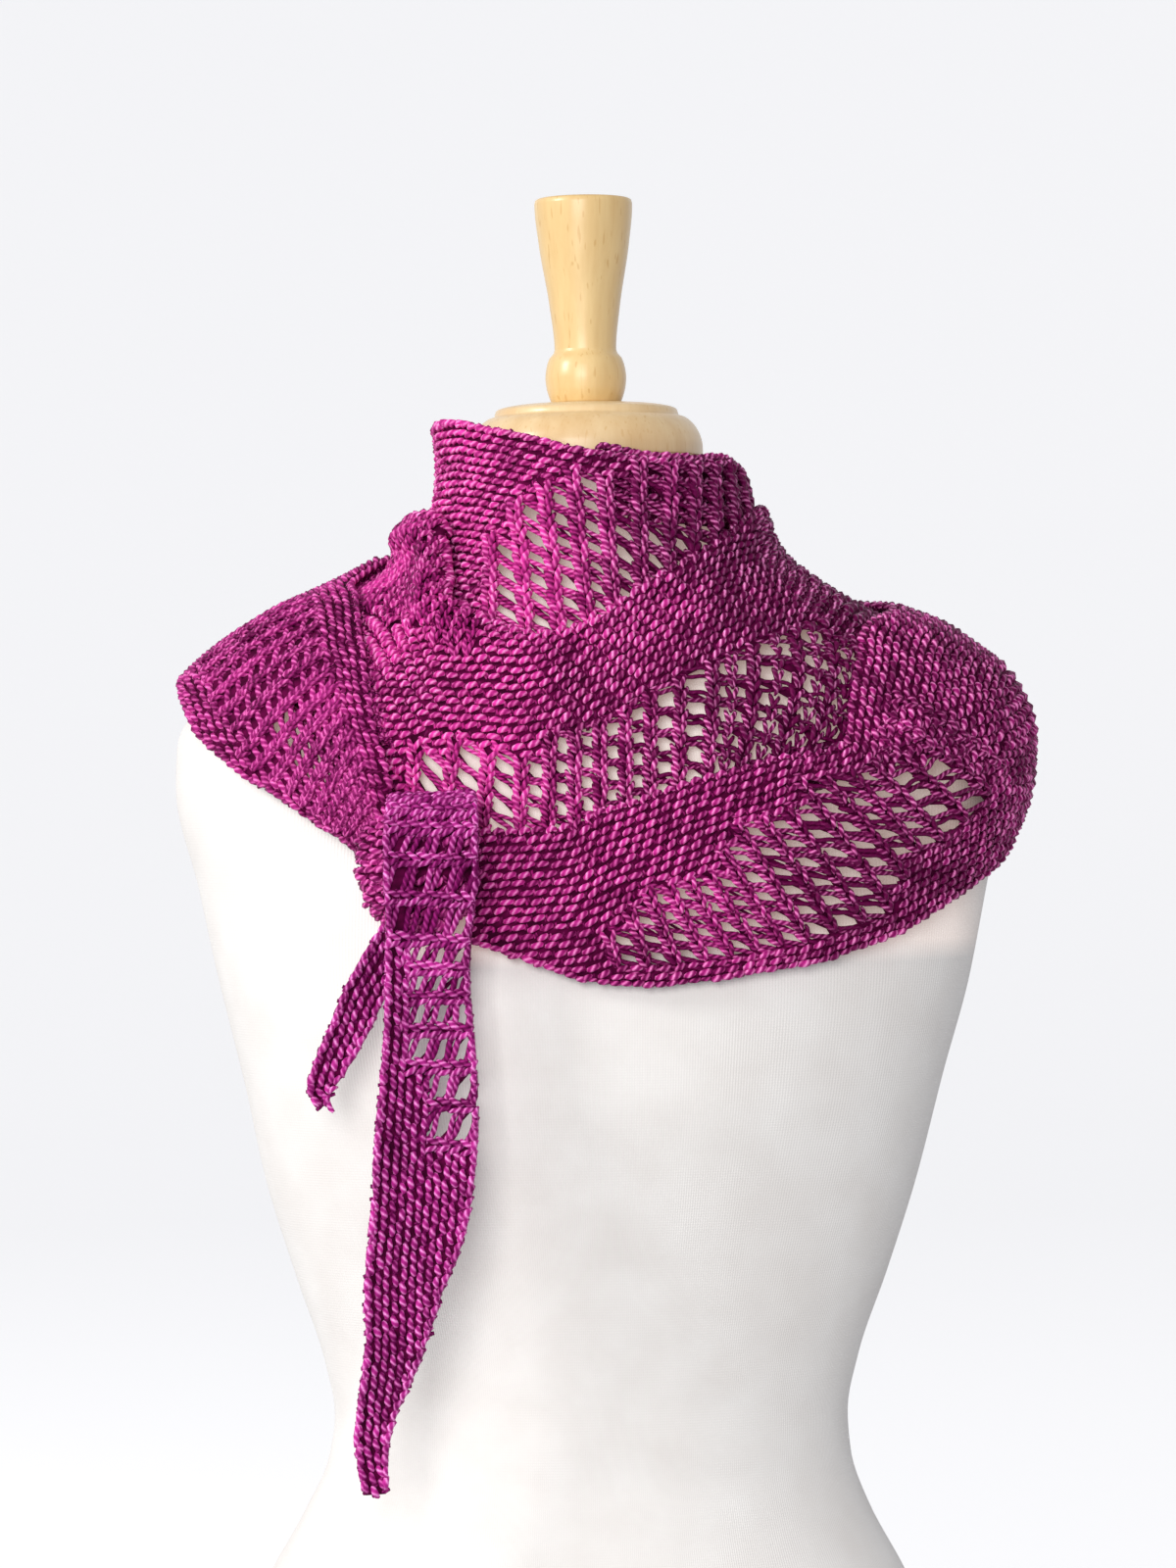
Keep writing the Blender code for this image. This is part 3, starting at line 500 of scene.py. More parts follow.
def in_lace(skin, laces, rib, way):
    """Whether a place, or one a little to either side of it, is in a lace cell."""
    row = np.floor(skin.row_of_way(rib, way))
    found = np.zeros(len(rib), bool)
    for side in (-RIB_HALF_WIDTH, 0, RIB_HALF_WIDTH):
        found |= open_cells(laces, np.clip(np.floor(rib + side), 0, skin.ribs[-1] - 1), row)
    return found & (way >= 0)


def backing(name, skin, laces, slant, made):
    """A stretch's thin backing: strips under the ribs, plain cloth between, and slanting bars in the lace."""
    ribs, rows = int(skin.ribs[-1]), skin.rows
    beside = [np.arange(ribs + 1) + side for side in (-RIB_HALF_WIDTH, RIB_HALF_WIDTH, 0.5)]
    columns = np.unique(np.clip(np.concatenate(beside), 0, ribs))
    rolls = skin.ways[skin.ways < 0][::2]
    ways = skin.way_of_row(columns[:, None], np.arange(rows * QUARTERS + 1)[None] / QUARTERS)
    ways = np.concatenate([np.broadcast_to(rolls, (len(columns), len(rolls))), ways], axis=1)
    points = skin.at(np.broadcast_to(columns[:, None], ways.shape), ways, -BACKING_DEPTH)
    index = np.arange(ways.size).reshape(ways.shape)
    faces = []

    def quad(i, left, right):
        faces.append([index[i, left], index[i, left + 1], index[i + 1, right + 1], index[i + 1, right]])

    lean = 2 * slant
    for i in range(len(columns) - 1):
        middle = (columns[i] + columns[i + 1]) / 2
        rib = int(middle)
        on_rib = abs(middle - round(middle)) < 0.1
        opened = {row for row in range(rows) if not on_rib and open_cells(laces, float(rib), float(row))}
        for j in range(ways.shape[1] - 1):
            if (j - len(rolls)) // QUARTERS not in opened:
                quad(i, j, j)
        for row in opened:
            if row + 1 in opened:
                bar = len(rolls) + QUARTERS * (row + 1)
                quad(i, *((bar - lean, bar) if columns[i] < rib + 0.3 else (bar, bar + lean)))
    used, faces = np.unique(np.array(faces), return_inverse=True)
    cloth = piece(name, points.reshape(-1, 3)[used], faces.reshape(-1, 4), made)
    wall = cloth.modifiers.new("wall", "SOLIDIFY")
    wall.thickness = BACKING_THICKNESS
    wall.offset = 0.0
    return cloth


SIDES = 6
MM = 1000
noise = np.random.default_rng(7)


def uneven(count, middle, spread):
    """A value for each of some stitches, a little different from one to the next."""
    return noise.normal(middle, spread, (count, 1))


def strands(lines, outs, radii, lit=1.0):
    """Tapered round threads along centre lines, as points with their thread coordinates and a tone."""
    along = unit(np.gradient(lines, axis=1))
    side = unit(np.cross(along, outs))
    out = np.cross(side, along)
    turn = np.arange(SIDES) * 2 * np.pi / SIDES
    ring = out[:, :, None] * np.cos(turn)[:, None] + side[:, :, None] * np.sin(turn)[:, None]
    points = lines[:, :, None] + ring * radii[..., None, None]
    steps = np.linalg.norm(np.diff(lines, axis=1), axis=2) * MM
    travelled = np.concatenate([np.zeros((len(lines), 1)), np.cumsum(steps, axis=1)], axis=1)
    travelled += noise.uniform(0, 9, (len(lines), 1))
    # Each thread's tone differs at random; a lit below one paints threads that lie deeper darker, as painted
    # shade.
    tone = noise.uniform(lit - 1, lit, (len(lines), 1, 1)) + np.zeros(points.shape[:3])
    return points, travelled, tone


def threads(name, batches, made):
    """One piece of many threads."""
    points, faces, thread, tones, first = [], [], [], [], 0
    for lines, travelled, tone in batches:
        count, long, sides = lines.shape[:3]
        index = first + np.arange(lines.size // 3).reshape(count, long, sides)
        following = np.roll(index, -1, axis=2)
        quads = [index[:, :-1], following[:, :-1], following[:, 1:], index[:, 1:]]
        faces.append(np.stack(quads, -1).reshape(-1, 4))
        corners = np.empty((count, long - 1, sides, 4, 2))
        corners[..., 0] = (np.arange(sides) / sides)[:, None] + np.array([0, 1, 1, 0]) / sides
        corners[..., :2, 1] = travelled[:, :-1, None, None]
        corners[..., 2:, 1] = travelled[:, 1:, None, None]
        thread.append(corners.reshape(-1, 2))
        points.append(lines.reshape(-1, 3))
        tones.append(tone.ravel())
        first += lines.size // 3
    points, faces, thread, tones = (np.concatenate(part) for part in (points, faces, thread, tones))
    return piece(name, points, faces, made, thread, tones)


TURN_SPREAD = 0.10
SIZE_SPREAD = 0.06
SLIP_ALONG = 0.0002
SLIP_DOWN = 0.00025
THICKNESS_SPREAD = 0.05


def stitches(skin, rib, way, shape, radii, scale=1.0, turn=0.0, axis=None, lit=1.0):
    """One short thread at each place, shaped by points along the rows, down the cloth and out from it."""
    out = unit(skin.read(skin.out, rib, way))
    down = skin.read(skin.down, rib, way)
    down = unit(down - out * (down * out).sum(-1, keepdims=True))
    if axis is None:
        axis = np.cross(out, down)
        axis *= np.sign((axis * skin.read(skin.round_it, rib, way)).sum(-1, keepdims=True))
    else:
        axis = unit(axis - out * (axis * out).sum(-1, keepdims=True))
        side = np.cross(axis, out)
        down = side * np.sign((side * down).sum(-1, keepdims=True))
    count = len(rib)
    turn = turn + uneven(count, 0, TURN_SPREAD)
    size = np.broadcast_to(scale, count)[:, None] * uneven(count, 1, SIZE_SPREAD)
    x, y, z = shape[:, 0] * size, shape[:, 1] + 0 * size, shape[:, 2] + 0 * size
    along = x * np.cos(turn) - y * np.sin(turn)
    across = x * np.sin(turn) + y * np.cos(turn)
    place = skin.at(rib, way) + axis * uneven(count, 0, SLIP_ALONG) + down * uneven(count, 0, SLIP_DOWN)
    lines = place[:, None] + axis[:, None] * along[..., None] + down[:, None] * across[..., None]
    lines = lines + out[:, None] * z[..., None]
    thick = radii * uneven(count, 1, THICKNESS_SPREAD)
    return strands(lines, np.broadcast_to(out[:, None], lines.shape), thick, lit)


A_LITTLE = 0.03


def direction_along(skin, rib, way_at):
    """The way that a line of the cloth runs at each of some ribs."""
    before, after = rib - A_LITTLE, rib + A_LITTLE
    return skin.at(after, way_at(after)) - skin.at(before, way_at(before))


def travelled_along(skin, fine, way):
    """How far along a line of the cloth each of its ribs is."""
    steps = np.linalg.norm(np.diff(skin.at(fine, way + 0 * fine), axis=0), axis=1)
    return np.concatenate([[0], np.cumsum(steps)])


def even_places(skin, way_at, pitch, start, like):
    """Rib places along a line across the cloth, in step with even places at a share of the way down."""
    fine = np.linspace(0, skin.ribs[-1], int(skin.ribs[-1] * LINES_TO_RIB) + 1)
    travelled = travelled_along(skin, fine, like)
    rib = np.interp(np.arange(start, travelled[-1], pitch), travelled, fine)
    here = skin.at(fine, way_at(fine))
    stretch = np.linalg.norm(np.gradient(here, axis=0), axis=1) / np.maximum(np.gradient(travelled), 1e-6)
    return rib, np.interp(rib, fine, stretch)


BUMP_ALONG = (-0.0027, -0.0017, 0.0, 0.0017, 0.0027)
BUMP_DOWN = (0.0009, 0.0004, -0.0001, -0.0005, -0.0006)
BUMP_OUT = (-0.0016, 0.0007, 0.0016, 0.0007, -0.0016)
BUMP = np.stack([BUMP_ALONG, BUMP_DOWN, BUMP_OUT], -1)
BUMP_RADII = np.array([0.0007, 0.00130, 0.00155, 0.00130, 0.0007])
SUNK = np.array([(0.0005, -0.0020, -0.0010), (0.0, 0.0, -0.0002), (-0.0005, 0.0020, -0.0010)])
SUNK_RADII = np.array([0.0009, 0.0012, 0.0009])
FIRST_ROW = 0.2
NEAR_LOW_EDGE = 0.9
PAST_GUIDE = 1.7
NARROWEST, WIDEST = 0.7, 1.2


def garter(skin, laces, spacing, pitch, guides=(0,), split=None, like=0.35, turn=-0.03, inset=0.0):
    """Rows of purl bumps in a brick bond wherever the cloth is plain.

    The rows keep even distances from a guide, which is a way across the cloth, or ways at some of its ribs.
    With two guides, the second takes over below the split. The inset keeps bumps off a narrow strip's edges.
    """
    batches = []
    count = int(PAST_GUIDE * skin.length.max() / spacing)
    for part, guide in enumerate(guides):
        stops, ways = guide if np.ndim(guide) else ((0.0, skin.ribs[-1]), (guide, guide))
        for k in range(-count, count + 1):

            def way_at(rib):
                guide_at = np.interp(rib, stops, ways) * np.interp(rib, skin.ribs, skin.length)
                return skin.way_of_distance(rib, guide_at + (k + FIRST_ROW) * spacing)

            start = (k % 2) * pitch / 2
            rib, stretch = even_places(skin, way_at, pitch, start, NEAR_LOW_EDGE if part else like)
            way = way_at(rib)
            edge = inset / np.interp(rib, skin.ribs, skin.length)
            keep = (way <= 1 - edge) & (way >= skin.ways[0] + edge)
            keep &= ~in_lace(skin, laces, rib, np.clip(way, -1, 1))
            if split:
                below = way > np.interp(rib, *split)
                keep &= below if part else ~below
            if keep.any():
                rib, way = rib[keep], way[keep]
                axis = direction_along(skin, rib, way_at)
                wide = np.clip(stretch[keep], NARROWEST, WIDEST)
                batches.append(stitches(skin, rib, way, BUMP, BUMP_RADII, wide, turn, axis))
                rib_length = np.maximum(np.linalg.norm(axis, axis=-1) / (2 * A_LITTLE), 0.001)
                rib = np.clip(rib + pitch / 2 / rib_length, 0, skin.ribs[-1])
                way = np.clip(way_at(rib), skin.ways[0], 1)
                # The sunk legs are painted darker, as painted shade.
                batches.append(stitches(skin, rib, way, SUNK, SUNK_RADII, wide, 0.0, axis, 0.0))
    return batches


LEG_ALONG = (0.0029, 0.0025, 0.0016, 0.0007, 0.0002)
LEG_DOWN = (-0.0022, -0.0008, 0.0011, 0.0029, 0.0042)
LEG_OUT = (-0.0003, 0.0011, 0.0020, 0.0017, 0.0002)
LEG = np.stack([LEG_ALONG, LEG_DOWN, LEG_OUT], -1)
LEG_RADII = np.array([0.0007, 0.00110, 0.00128, 0.00115, 0.0006])
BOTH_LEGS = (LEG, LEG * (-1.0, 1.0, 1.0))
ROW_DROP = 0.1
RIB_WOBBLE = 0.015


def chains(skin, laces, size=1.0, wide=1.0, shift=0.0):
    """The knitted chain down each rib of the lace, or between two of them, two pairs of legs to a row."""
    batches = []
    ribs, rows = int(skin.ribs[-1]), skin.rows
    for shape in BOTH_LEGS:
        rib, row = np.meshgrid(np.arange(ribs + 1.0), np.arange(0.0, rows, 0.5), indexing="ij")
        rib, row = rib.ravel(), row.ravel()
        right = open_cells(laces, np.minimum(rib, ribs - 1), np.floor(row)) & (rib < ribs)
        left = open_cells(laces, np.maximum(rib - 1, 0), np.floor(row)) & (rib >= 1)
        keep = right if shift else right | left
        places = rib[keep] + shift + noise.normal(0, RIB_WOBBLE, keep.sum())
        ways = skin.way_of_row(places, row[keep] + ROW_DROP)
        leg = shape * (size * wide, size, size)
        # The chain legs are painted a little darker, as painted shade.
        batches.append(stitches(skin, places, ways, leg, LEG_RADII * size, lit=0.75))
    return batches


BAR_RADIUS = 0.00092
BAR_SWELL = 0.00010
BAR_DEPTH = 0.0003
BAR_RISE = 0.0006
UPPER_BAR_RISE = 0.0004
BAR_SWING = 0.05


def bars(skin, laces, slant=1, size=1.0, parts=(-0.095, 0.095), lit=0.55):
    """The strands that cross the lace from each rib to the next, lower down, and sag as they go."""
    rib, row = np.meshgrid(np.arange(float(int(skin.ribs[-1]))), np.arange(0.0, skin.rows + 1), indexing="ij")
    rib, row = rib.ravel(), row.ravel()
    keep = (open_cells(laces, rib, row) & (row < skin.rows)) | (open_cells(laces, rib, row - 1) & (row > 0))
    rib, row = rib[keep], row[keep]
    count = len(rib)
    across = np.linspace(0.04, 0.96, 9)
    places = rib[:, None] + across
    sag = np.sin(np.pi * across)
    fall = slant * (across + 0.09 * np.sin(2 * np.pi * across) - 0.5) * 0.9
    batches = []
    for part in parts:
        swing = uneven(count, 0, BAR_SWING) + uneven(count, 0, BAR_SWING) * np.cos(np.pi * across)
        rows_at = row[:, None] + ROW_DROP + fall + part * (0.8 + 0.4 * sag) + swing
        ways = np.clip(skin.way_of_row(places, rows_at), 0, 1)
        lift = -BAR_DEPTH + BAR_RISE * sag + (UPPER_BAR_RISE if part < 0 else 0.0) + 0 * places
        outs = unit(skin.read(skin.out, places, ways))
        radii = (BAR_RADIUS + BAR_SWELL * sag) * size * uneven(count, 1, SIZE_SPREAD)
        # The bars are painted darker by their lit, as painted shade.
        batches.append(strands(skin.at(places, ways, lift), outs, radii, lit))
    return batches


KNOT_PITCH = 0.0051
KNOT_SIZE = 0.95
KNOT_LEAN = 0.18
KNOT_SPREAD = 0.1


def hem(skin, way, ribs=None):
    """A knotted selvedge along a line of the cloth."""
    first, last = ribs or (0, skin.ribs[-1])
    fine = np.linspace(first, last, int((last - first) * LINES_TO_RIB) + 1)
    travelled = travelled_along(skin, fine, way)
    rib = np.interp(np.arange(0.001, travelled[-1], KNOT_PITCH), travelled, fine)
    axis = direction_along(skin, rib, lambda at: way + 0 * at)
    radii = BUMP_RADII * uneven(len(rib), 1, KNOT_SPREAD)
    return [stitches(skin, rib, way + 0 * rib, BUMP, radii, KNOT_SIZE, KNOT_LEAN, axis)]


PLY_LENGTH = 3.2  # mm of yarn in which its plies turn half way round
FULL_TURN = 6.2832


def yarn(name, dark, light, bright, rightward_shade):
    """Soft two ply yarn, dyed by hand at random, painted darker to the right, with painted glints and grooves
    on its plies.
    """
    made, start = material(name, Roughness=0.48, Specular_IOR_Level=0.28, Specular_Tint=(1.0, 0.22, 0.62, 1))
    place = start.node("TexCoord", {}, {}, "Object")
    thread = start.node("UVMap", {"uv_map": "thread"}, {})
    ply = ((thread.part("X") * 2 + thread.part("Y") / PLY_LENGTH) * FULL_TURN).maths("SINE") * 0.5 + 0.5
    dye = start.node("TexNoise", {}, {"Vector": place, "Scale": 24.0, "Detail": 3.0, "Roughness": 0.6})
    fibre = start.node("TexNoise", {}, {"Vector": place, "Scale": 1500.0, "Detail": 2.0})
    tone = start.node("Attribute", {"attribute_name": "tone"}, {}, "Fac")
    # Painted shade: darker towards the right, and the plies painted lighter on their crests and darker in
    # their grooves.
    share = dye + tone * 0.46 + ply * 0.38 - place.part("X").maths("MAXIMUM", -0.03) * rightward_shade
    base = share.between(0.52, 1.26, dark, light)
    # Painted highlight: glints of the bright colour along the ply crests, fainter where the painted shade is
    # deeper.
    glint = (ply * ply * ply * fibre * (tone * 1.4 + 0.35)).maths("MINIMUM", 1.0)
    glint = glint * (share * 1.1).maths("MINIMUM", 1.1)
    colour = start.node("Mix", {"data_type": "RGBA"}, {0: glint, 6: base, 7: bright}, 2)
    plied = ply * 0.7 + fibre * 0.3
    relief = start.node("Bump", {}, {"Strength": 0.8, "Distance": 0.0004, "Height": plied})
    feed(made, Base_Color=colour, Normal=relief)
    return made


# Painted shade: the backing is dark as the shade between and under the stitches, and darker still between its
# loops.
BACKING_SHADE, BACKING_GAP_SHADE = (0.11, 0.001, 0.045, 1), (0.0385, 0.00035, 0.01575, 1.0)


def painted_shade_backing(name):
    """The inner side of the knitting, painted dark as shade, with the rows just showing and painted darker
    between the loops.
    """
    made, start = material(name, Roughness=0.9, Specular_IOR_Level=0.08)
    place = start.node("TexCoord", {}, {}, "Object")
    spread = start.node("Mapping", {}, {"Vector": place, "Scale": (170.0, 170.0, 250.0)})
    cells = {"Vector": spread, "Scale": 1.0, "Smoothness": 0.4}
    loops = start.node("TexVoronoi", {"feature": "SMOOTH_F1"}, cells)
    relief = start.node("Bump", {"invert": True}, {"Strength": 0.7, "Distance": 0.001, "Height": loops})
    feed(made, Base_Color=loops.between(0.2, 0.8, BACKING_SHADE, BACKING_GAP_SHADE), Normal=relief)
    return made


def knitted(node, skin, laces, batches, shades, slant=1):
    """A stretch of the shawl from its skin: its backing and its stitches, with the model's part hidden."""
    cloth = backing(node + "_cloth", skin, laces, slant, painted_shade_backing(node + "_under"))
    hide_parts(node)
    knit = threads(node + "_stitches", batches, yarn(node + "_threads", **shades))


MAGENTA = dict(
    dark=(0.10, 0.0007, 0.043, 1), light=(0.82, 0.042, 0.39, 1), bright=(1.0, 0.38, 0.74, 1), rightward_shade=5.0
)
COLLAR_FRONT = table(
    STATION,
    (0, -90, 0.695, -90, 0.624, 0, -0.0035, -0.0016),
    (1, -79, 0.6972, -75, 0.619, 0, -0.0033, -0.0016),
    (2.5, -62, 0.6975, -52, 0.612, 0, -0.003, -0.0016),
    (4, -44, 0.694, -27, 0.588, 0, 0, -0.0016),
    (5, -31, 0.691, -16, 0.581, 0, 0, -0.0016),
    (6, -18, 0.687, -7, 0.578, 0, 0, -0.0016),
    (7, -6, 0.683, 1, 0.579, 0, 0, -0.0016),
    (8, 6, 0.68, 8, 0.584, 0, 0, -0.0016),
    (9, 19, 0.6775, 16, 0.592, 0, 0, -0.0016),
    (10, 32, 0.676, 24, 0.598, 0, 0, -0.0016),
    (11.5, 49, 0.6755, 38, 0.607, 0, 0, -0.0016),
    (13, 66, 0.677, 57, 0.616, 0, 0, -0.0016),
    (15, 90, 0.672, 90, 0.624, 0, 0, -0.0016),
)
COLLAR_PACE = table(
    PACE,
    (0.0, 8.0, 0.80), (5.0, 9.8, 0.88), (7.0, 9.6, 0.87), (9.0, 6.6, 0.74), (10.0, 5.4, 0.68),
    (11.5, 4.0, 0.58), (13.0, 3.2, 0.50), (15.0, 2.6, 0.45),
)
COLLAR_LACE = table(
    LACE,
    (4.0, 6.3, 9.0), (5.0, 4.2, 10.0), (6.0, 2.8, 10.0), (7.0, 1.4, 9.8), (8.0, 1.0, 8.6),
    (9.0, 0.5, 7.0), (10.0, 0.4, 5.8), (11.5, 0.3, 4.4), (13.0, 0.3, 3.4), (15.0, 0.4, 2.6),
)
skin = wound(COLLAR_FRONT, 11, rolled=False, pace=COLLAR_PACE)
stitched = garter(skin, [COLLAR_LACE], spacing=0.0040, pitch=0.0067)
stitched += chains(skin, [COLLAR_LACE], size=1.25) + bars(skin, [COLLAR_LACE], size=1.12, parts=(-0.13, 0.13))
stitched += hem(skin, 0.0)

# The strip of the wind inside the collar that shows above its edge and through its lace, on the right.
INNER_FROM, INNER_TO = 8.0, 15.0
INNER_SHARES = (0.26, 0.5)
INNER_BEHIND = 0.0045
INNER_RISE = 0.0045
inner_ribs, inner_ways = np.arange(INNER_FROM, INNER_TO + 0.1, 0.25), np.linspace(0.01, 1.0, 14)
inner_rib, inner_way = np.meshgrid(inner_ribs, inner_ways, indexing="ij")
inner_way = inner_way * np.interp(inner_rib, (INNER_FROM, INNER_TO), INNER_SHARES)
inner_points = skin.at(inner_rib, inner_way, -INNER_BEHIND - 0.001 * np.sin(inner_rib * 2.1))
inner_points[..., 2] += np.interp(inner_way, (0.0, 0.15), (INNER_RISE, 0.0))
inner_skin = Skin(inner_points, inner_ribs, np.linspace(0, 1, 14), 5)
index = np.arange(inner_rib.size).reshape(inner_rib.shape)
inner_faces = np.stack([index[:-1, :-1], index[:-1, 1:], index[1:, 1:], index[1:, :-1]], -1).reshape(-1, 4)
inner_wrap = piece("collar_inner_wrap", inner_points, inner_faces, painted_shade_backing("inner_under"))
inner_stitched = garter(inner_skin, [], spacing=0.0042, pitch=0.0062)
inner_stitched += hem(inner_skin, 0.0, (INNER_FROM, INNER_TO))
inner_knit = threads("collar_inner_stitches", inner_stitched, yarn("inner_threads", **MAGENTA))

knitted("collar_front", skin, [COLLAR_LACE], stitched, MAGENTA)

# The collar's back closes the first wind round the nape. It goes on with the garter rows, round one narrow
# band of lace, and its top edge meets the front's at both sides.

COLLAR_BACK = table(
    STATION,
    (0, 90, 0.672, 90, 0.624, 0, 0, -0.0016),
    (3.5, 135, 0.682, 135, 0.616, 0, 0, -0.0016),
    (7, 180, 0.6925, 180, 0.612, 0, 0, -0.0016),
    (10.5, 225, 0.696, 225, 0.616, 0, -0.002, -0.0016),
    (14, 270, 0.695, 270, 0.624, 0, -0.0035, -0.0016),
)
COLLAR_BACK_LACE = table(LACE, (1.0, 1.0, 4.0), (13.0, 1.0, 5.0))
skin = wound(COLLAR_BACK, 8, rolled=False)
stitched = garter(skin, [COLLAR_BACK_LACE], spacing=0.0040, pitch=0.0067)
stitched += chains(skin, [COLLAR_BACK_LACE]) + bars(skin, [COLLAR_BACK_LACE]) + hem(skin, 0.0)
knitted("collar_back", skin, [COLLAR_BACK_LACE], stitched, MAGENTA)

# The cowl is the second wind, which hangs over the collar's foot in soft folds with its upper edge rolled.
# It has close lace bunched at the upper left, then garter rows across the chest, and open lace below them.

COWL_LIFTS = dict(high_lift=0.0070, mid_lift=0.0050, low_lift=0.0010)
COWL_FRONT = table(
    OUTLINE,
    (0, -95, 0.648, -95, 0.598),
    (1.5, -78, 0.652, -78, 0.588),
    (3, -60, 0.651, -64, 0.572),
    (4, -52, 0.636, -55, 0.55),
    (5, -46, 0.62, -46, 0.52),
    (6, -38, 0.607, -38, 0.498),
    (7, -27, 0.598, -29, 0.488),
    (8.3, -15, 0.5925, -15, 0.484),
    (10, 0, 0.597, -1, 0.488),
    (12, 17, 0.614, 13, 0.499),
    (14, 38, 0.629, 25, 0.51),
    (16, 67, 0.647, 37, 0.519),
    (18, 81, 0.651, 48, 0.528),
    (20, 87, 0.652, 59, 0.556),
    (21.5, 91, 0.652, 72, 0.58),
    (23, 95, 0.651, 95, 0.592),
    **COWL_LIFTS,
)
COWL_FOLDS = table(
    FOLD,
    (0.0, 0.16, 8.5, 0.08, 0.011, 0.0065), (0.0, 0.52, 7.5, 0.24, 0.010, -0.0020),
    (10.0, 0.30, 22.0, 0.40, 0.020, 0.0015),
)
# The lace's ribs are closer at the left than the stations, so the stations' rib numbers are counted anew.
COWL_RIBS = ((0.0, 6.0, 8.3, 10.0, 12.0, 23.0), (0.0, 6.0, 9.2, 11.6, 14.1, 26.0))
COWL_UPPER_LACE = table(
    LACE,
    (0.0, 0.0, 9.0), (1.0, 0.0, 8.2), (2.0, 0.0, 7.0), (3.0, 0.0, 5.8), (4.0, 0.0, 3.8), (5.0, 0.0, 2.6),
    (7.0, 0.0, 2.0),
)
COWL_LOWER_LACE = table(
    LACE,
    (6.0, 7.3, 9.4), (7.0, 6.3, 9.8), (10.0, 5.2, 9.6), (13.0, 5.4, 10.0), (16.0, 5.2, 10.4),
    (18.0, 7.0, 10.4),
)
COWL_CROSSED = table(LACE, (13.4, 5.3, 10.0), (15.5, 5.3, 10.0), (18.0, 7.0, 10.4))
for lace in (COWL_UPPER_LACE, COWL_LOWER_LACE, COWL_CROSSED):
    lace["rib"] = np.interp(lace["rib"], *COWL_RIBS)
COWL_GUIDE = (
    (0.0, 3.0, 4.0, 5.0, 6.0, 7.4, 11.6, 15.2, 18.4, 20.6, 26.0),
    (1.9, 1.4, 1.09, 0.78, 0.60, 0.52, 0.433, 0.45, 0.433, 0.50, 0.5),
)
BUNCH_ACROSS = 0.33
BUNCH_DOWN = 0.055


def bunched(skin, laces):
    """Long loops that stand side by side down the cloth, where close lace is bunched."""
    batches = []
    for k, rib_at in enumerate(np.arange(0, skin.ribs[-1], BUNCH_ACROSS)):
        way = np.arange(0.0, 1.0, BUNCH_DOWN) + (k % 2) * BUNCH_DOWN / 2
        rib = rib_at + noise.normal(0, 0.02, len(way))
        row = np.floor(skin.row_of_way(rib, way))
        keep = open_cells(laces, np.clip(np.floor(rib), 0, skin.ribs[-1] - 1), row)
        if keep.any():
            for shape in BOTH_LEGS:
                long = shape * (0.80, 1.35, 1.2)
                # The bunched loops are painted darker, as painted shade.
                batches.append(stitches(skin, rib[keep], way[keep], long, LEG_RADII * 1.05, lit=0.45))
    return batches


skin = wound(COWL_FRONT, 12, COWL_FOLDS)
skin.ribs = np.interp(skin.ribs, *COWL_RIBS)
stitched = garter(skin, [COWL_UPPER_LACE, COWL_LOWER_LACE], 0.0040, 0.0067, guides=(COWL_GUIDE,), like=0.2)
stitched += chains(skin, [COWL_LOWER_LACE], size=1.1)
stitched += bars(skin, [COWL_LOWER_LACE], size=1.05, parts=(-0.11, 0.11))
stitched += chains(skin, [COWL_CROSSED], wide=0.8, shift=0.5)
stitched += bunched(skin, [COWL_UPPER_LACE]) + hem(skin, 1.0)
knitted("cowl_front", skin, [COWL_LOWER_LACE], stitched, MAGENTA)

# The cowl's back carries the second wind round the nape, over the collar's foot, with its edge rolled as in
# front: garter rows with one band of lace between them.

COWL_BACK = table(
    OUTLINE,
    (0, 95, 0.651, 95, 0.592),
    (3.5, 140, 0.648, 140, 0.585),
    (7, 180, 0.646, 180, 0.575),
    (10.5, 220, 0.647, 220, 0.585),
    (14, 265, 0.648, 265, 0.598),
    **COWL_LIFTS,
)
COWL_BACK_LACE = table(LACE, (1.0, 2.0, 5.0), (13.0, 2.0, 5.0))
skin = wound(COWL_BACK, 7)
stitched = garter(skin, [COWL_BACK_LACE], spacing=0.0041, pitch=0.0067)
stitched += chains(skin, [COWL_BACK_LACE]) + bars(skin, [COWL_BACK_LACE]) + hem(skin, 1.0)
knitted("cowl_back", skin, [COWL_BACK_LACE], stitched, MAGENTA)

# The cape's front, the shawl's widest stretch, which comes round the right shoulder and down to a blunt point
# at the front. Garter rows follow both its edges, and between them is the widest band of lace.

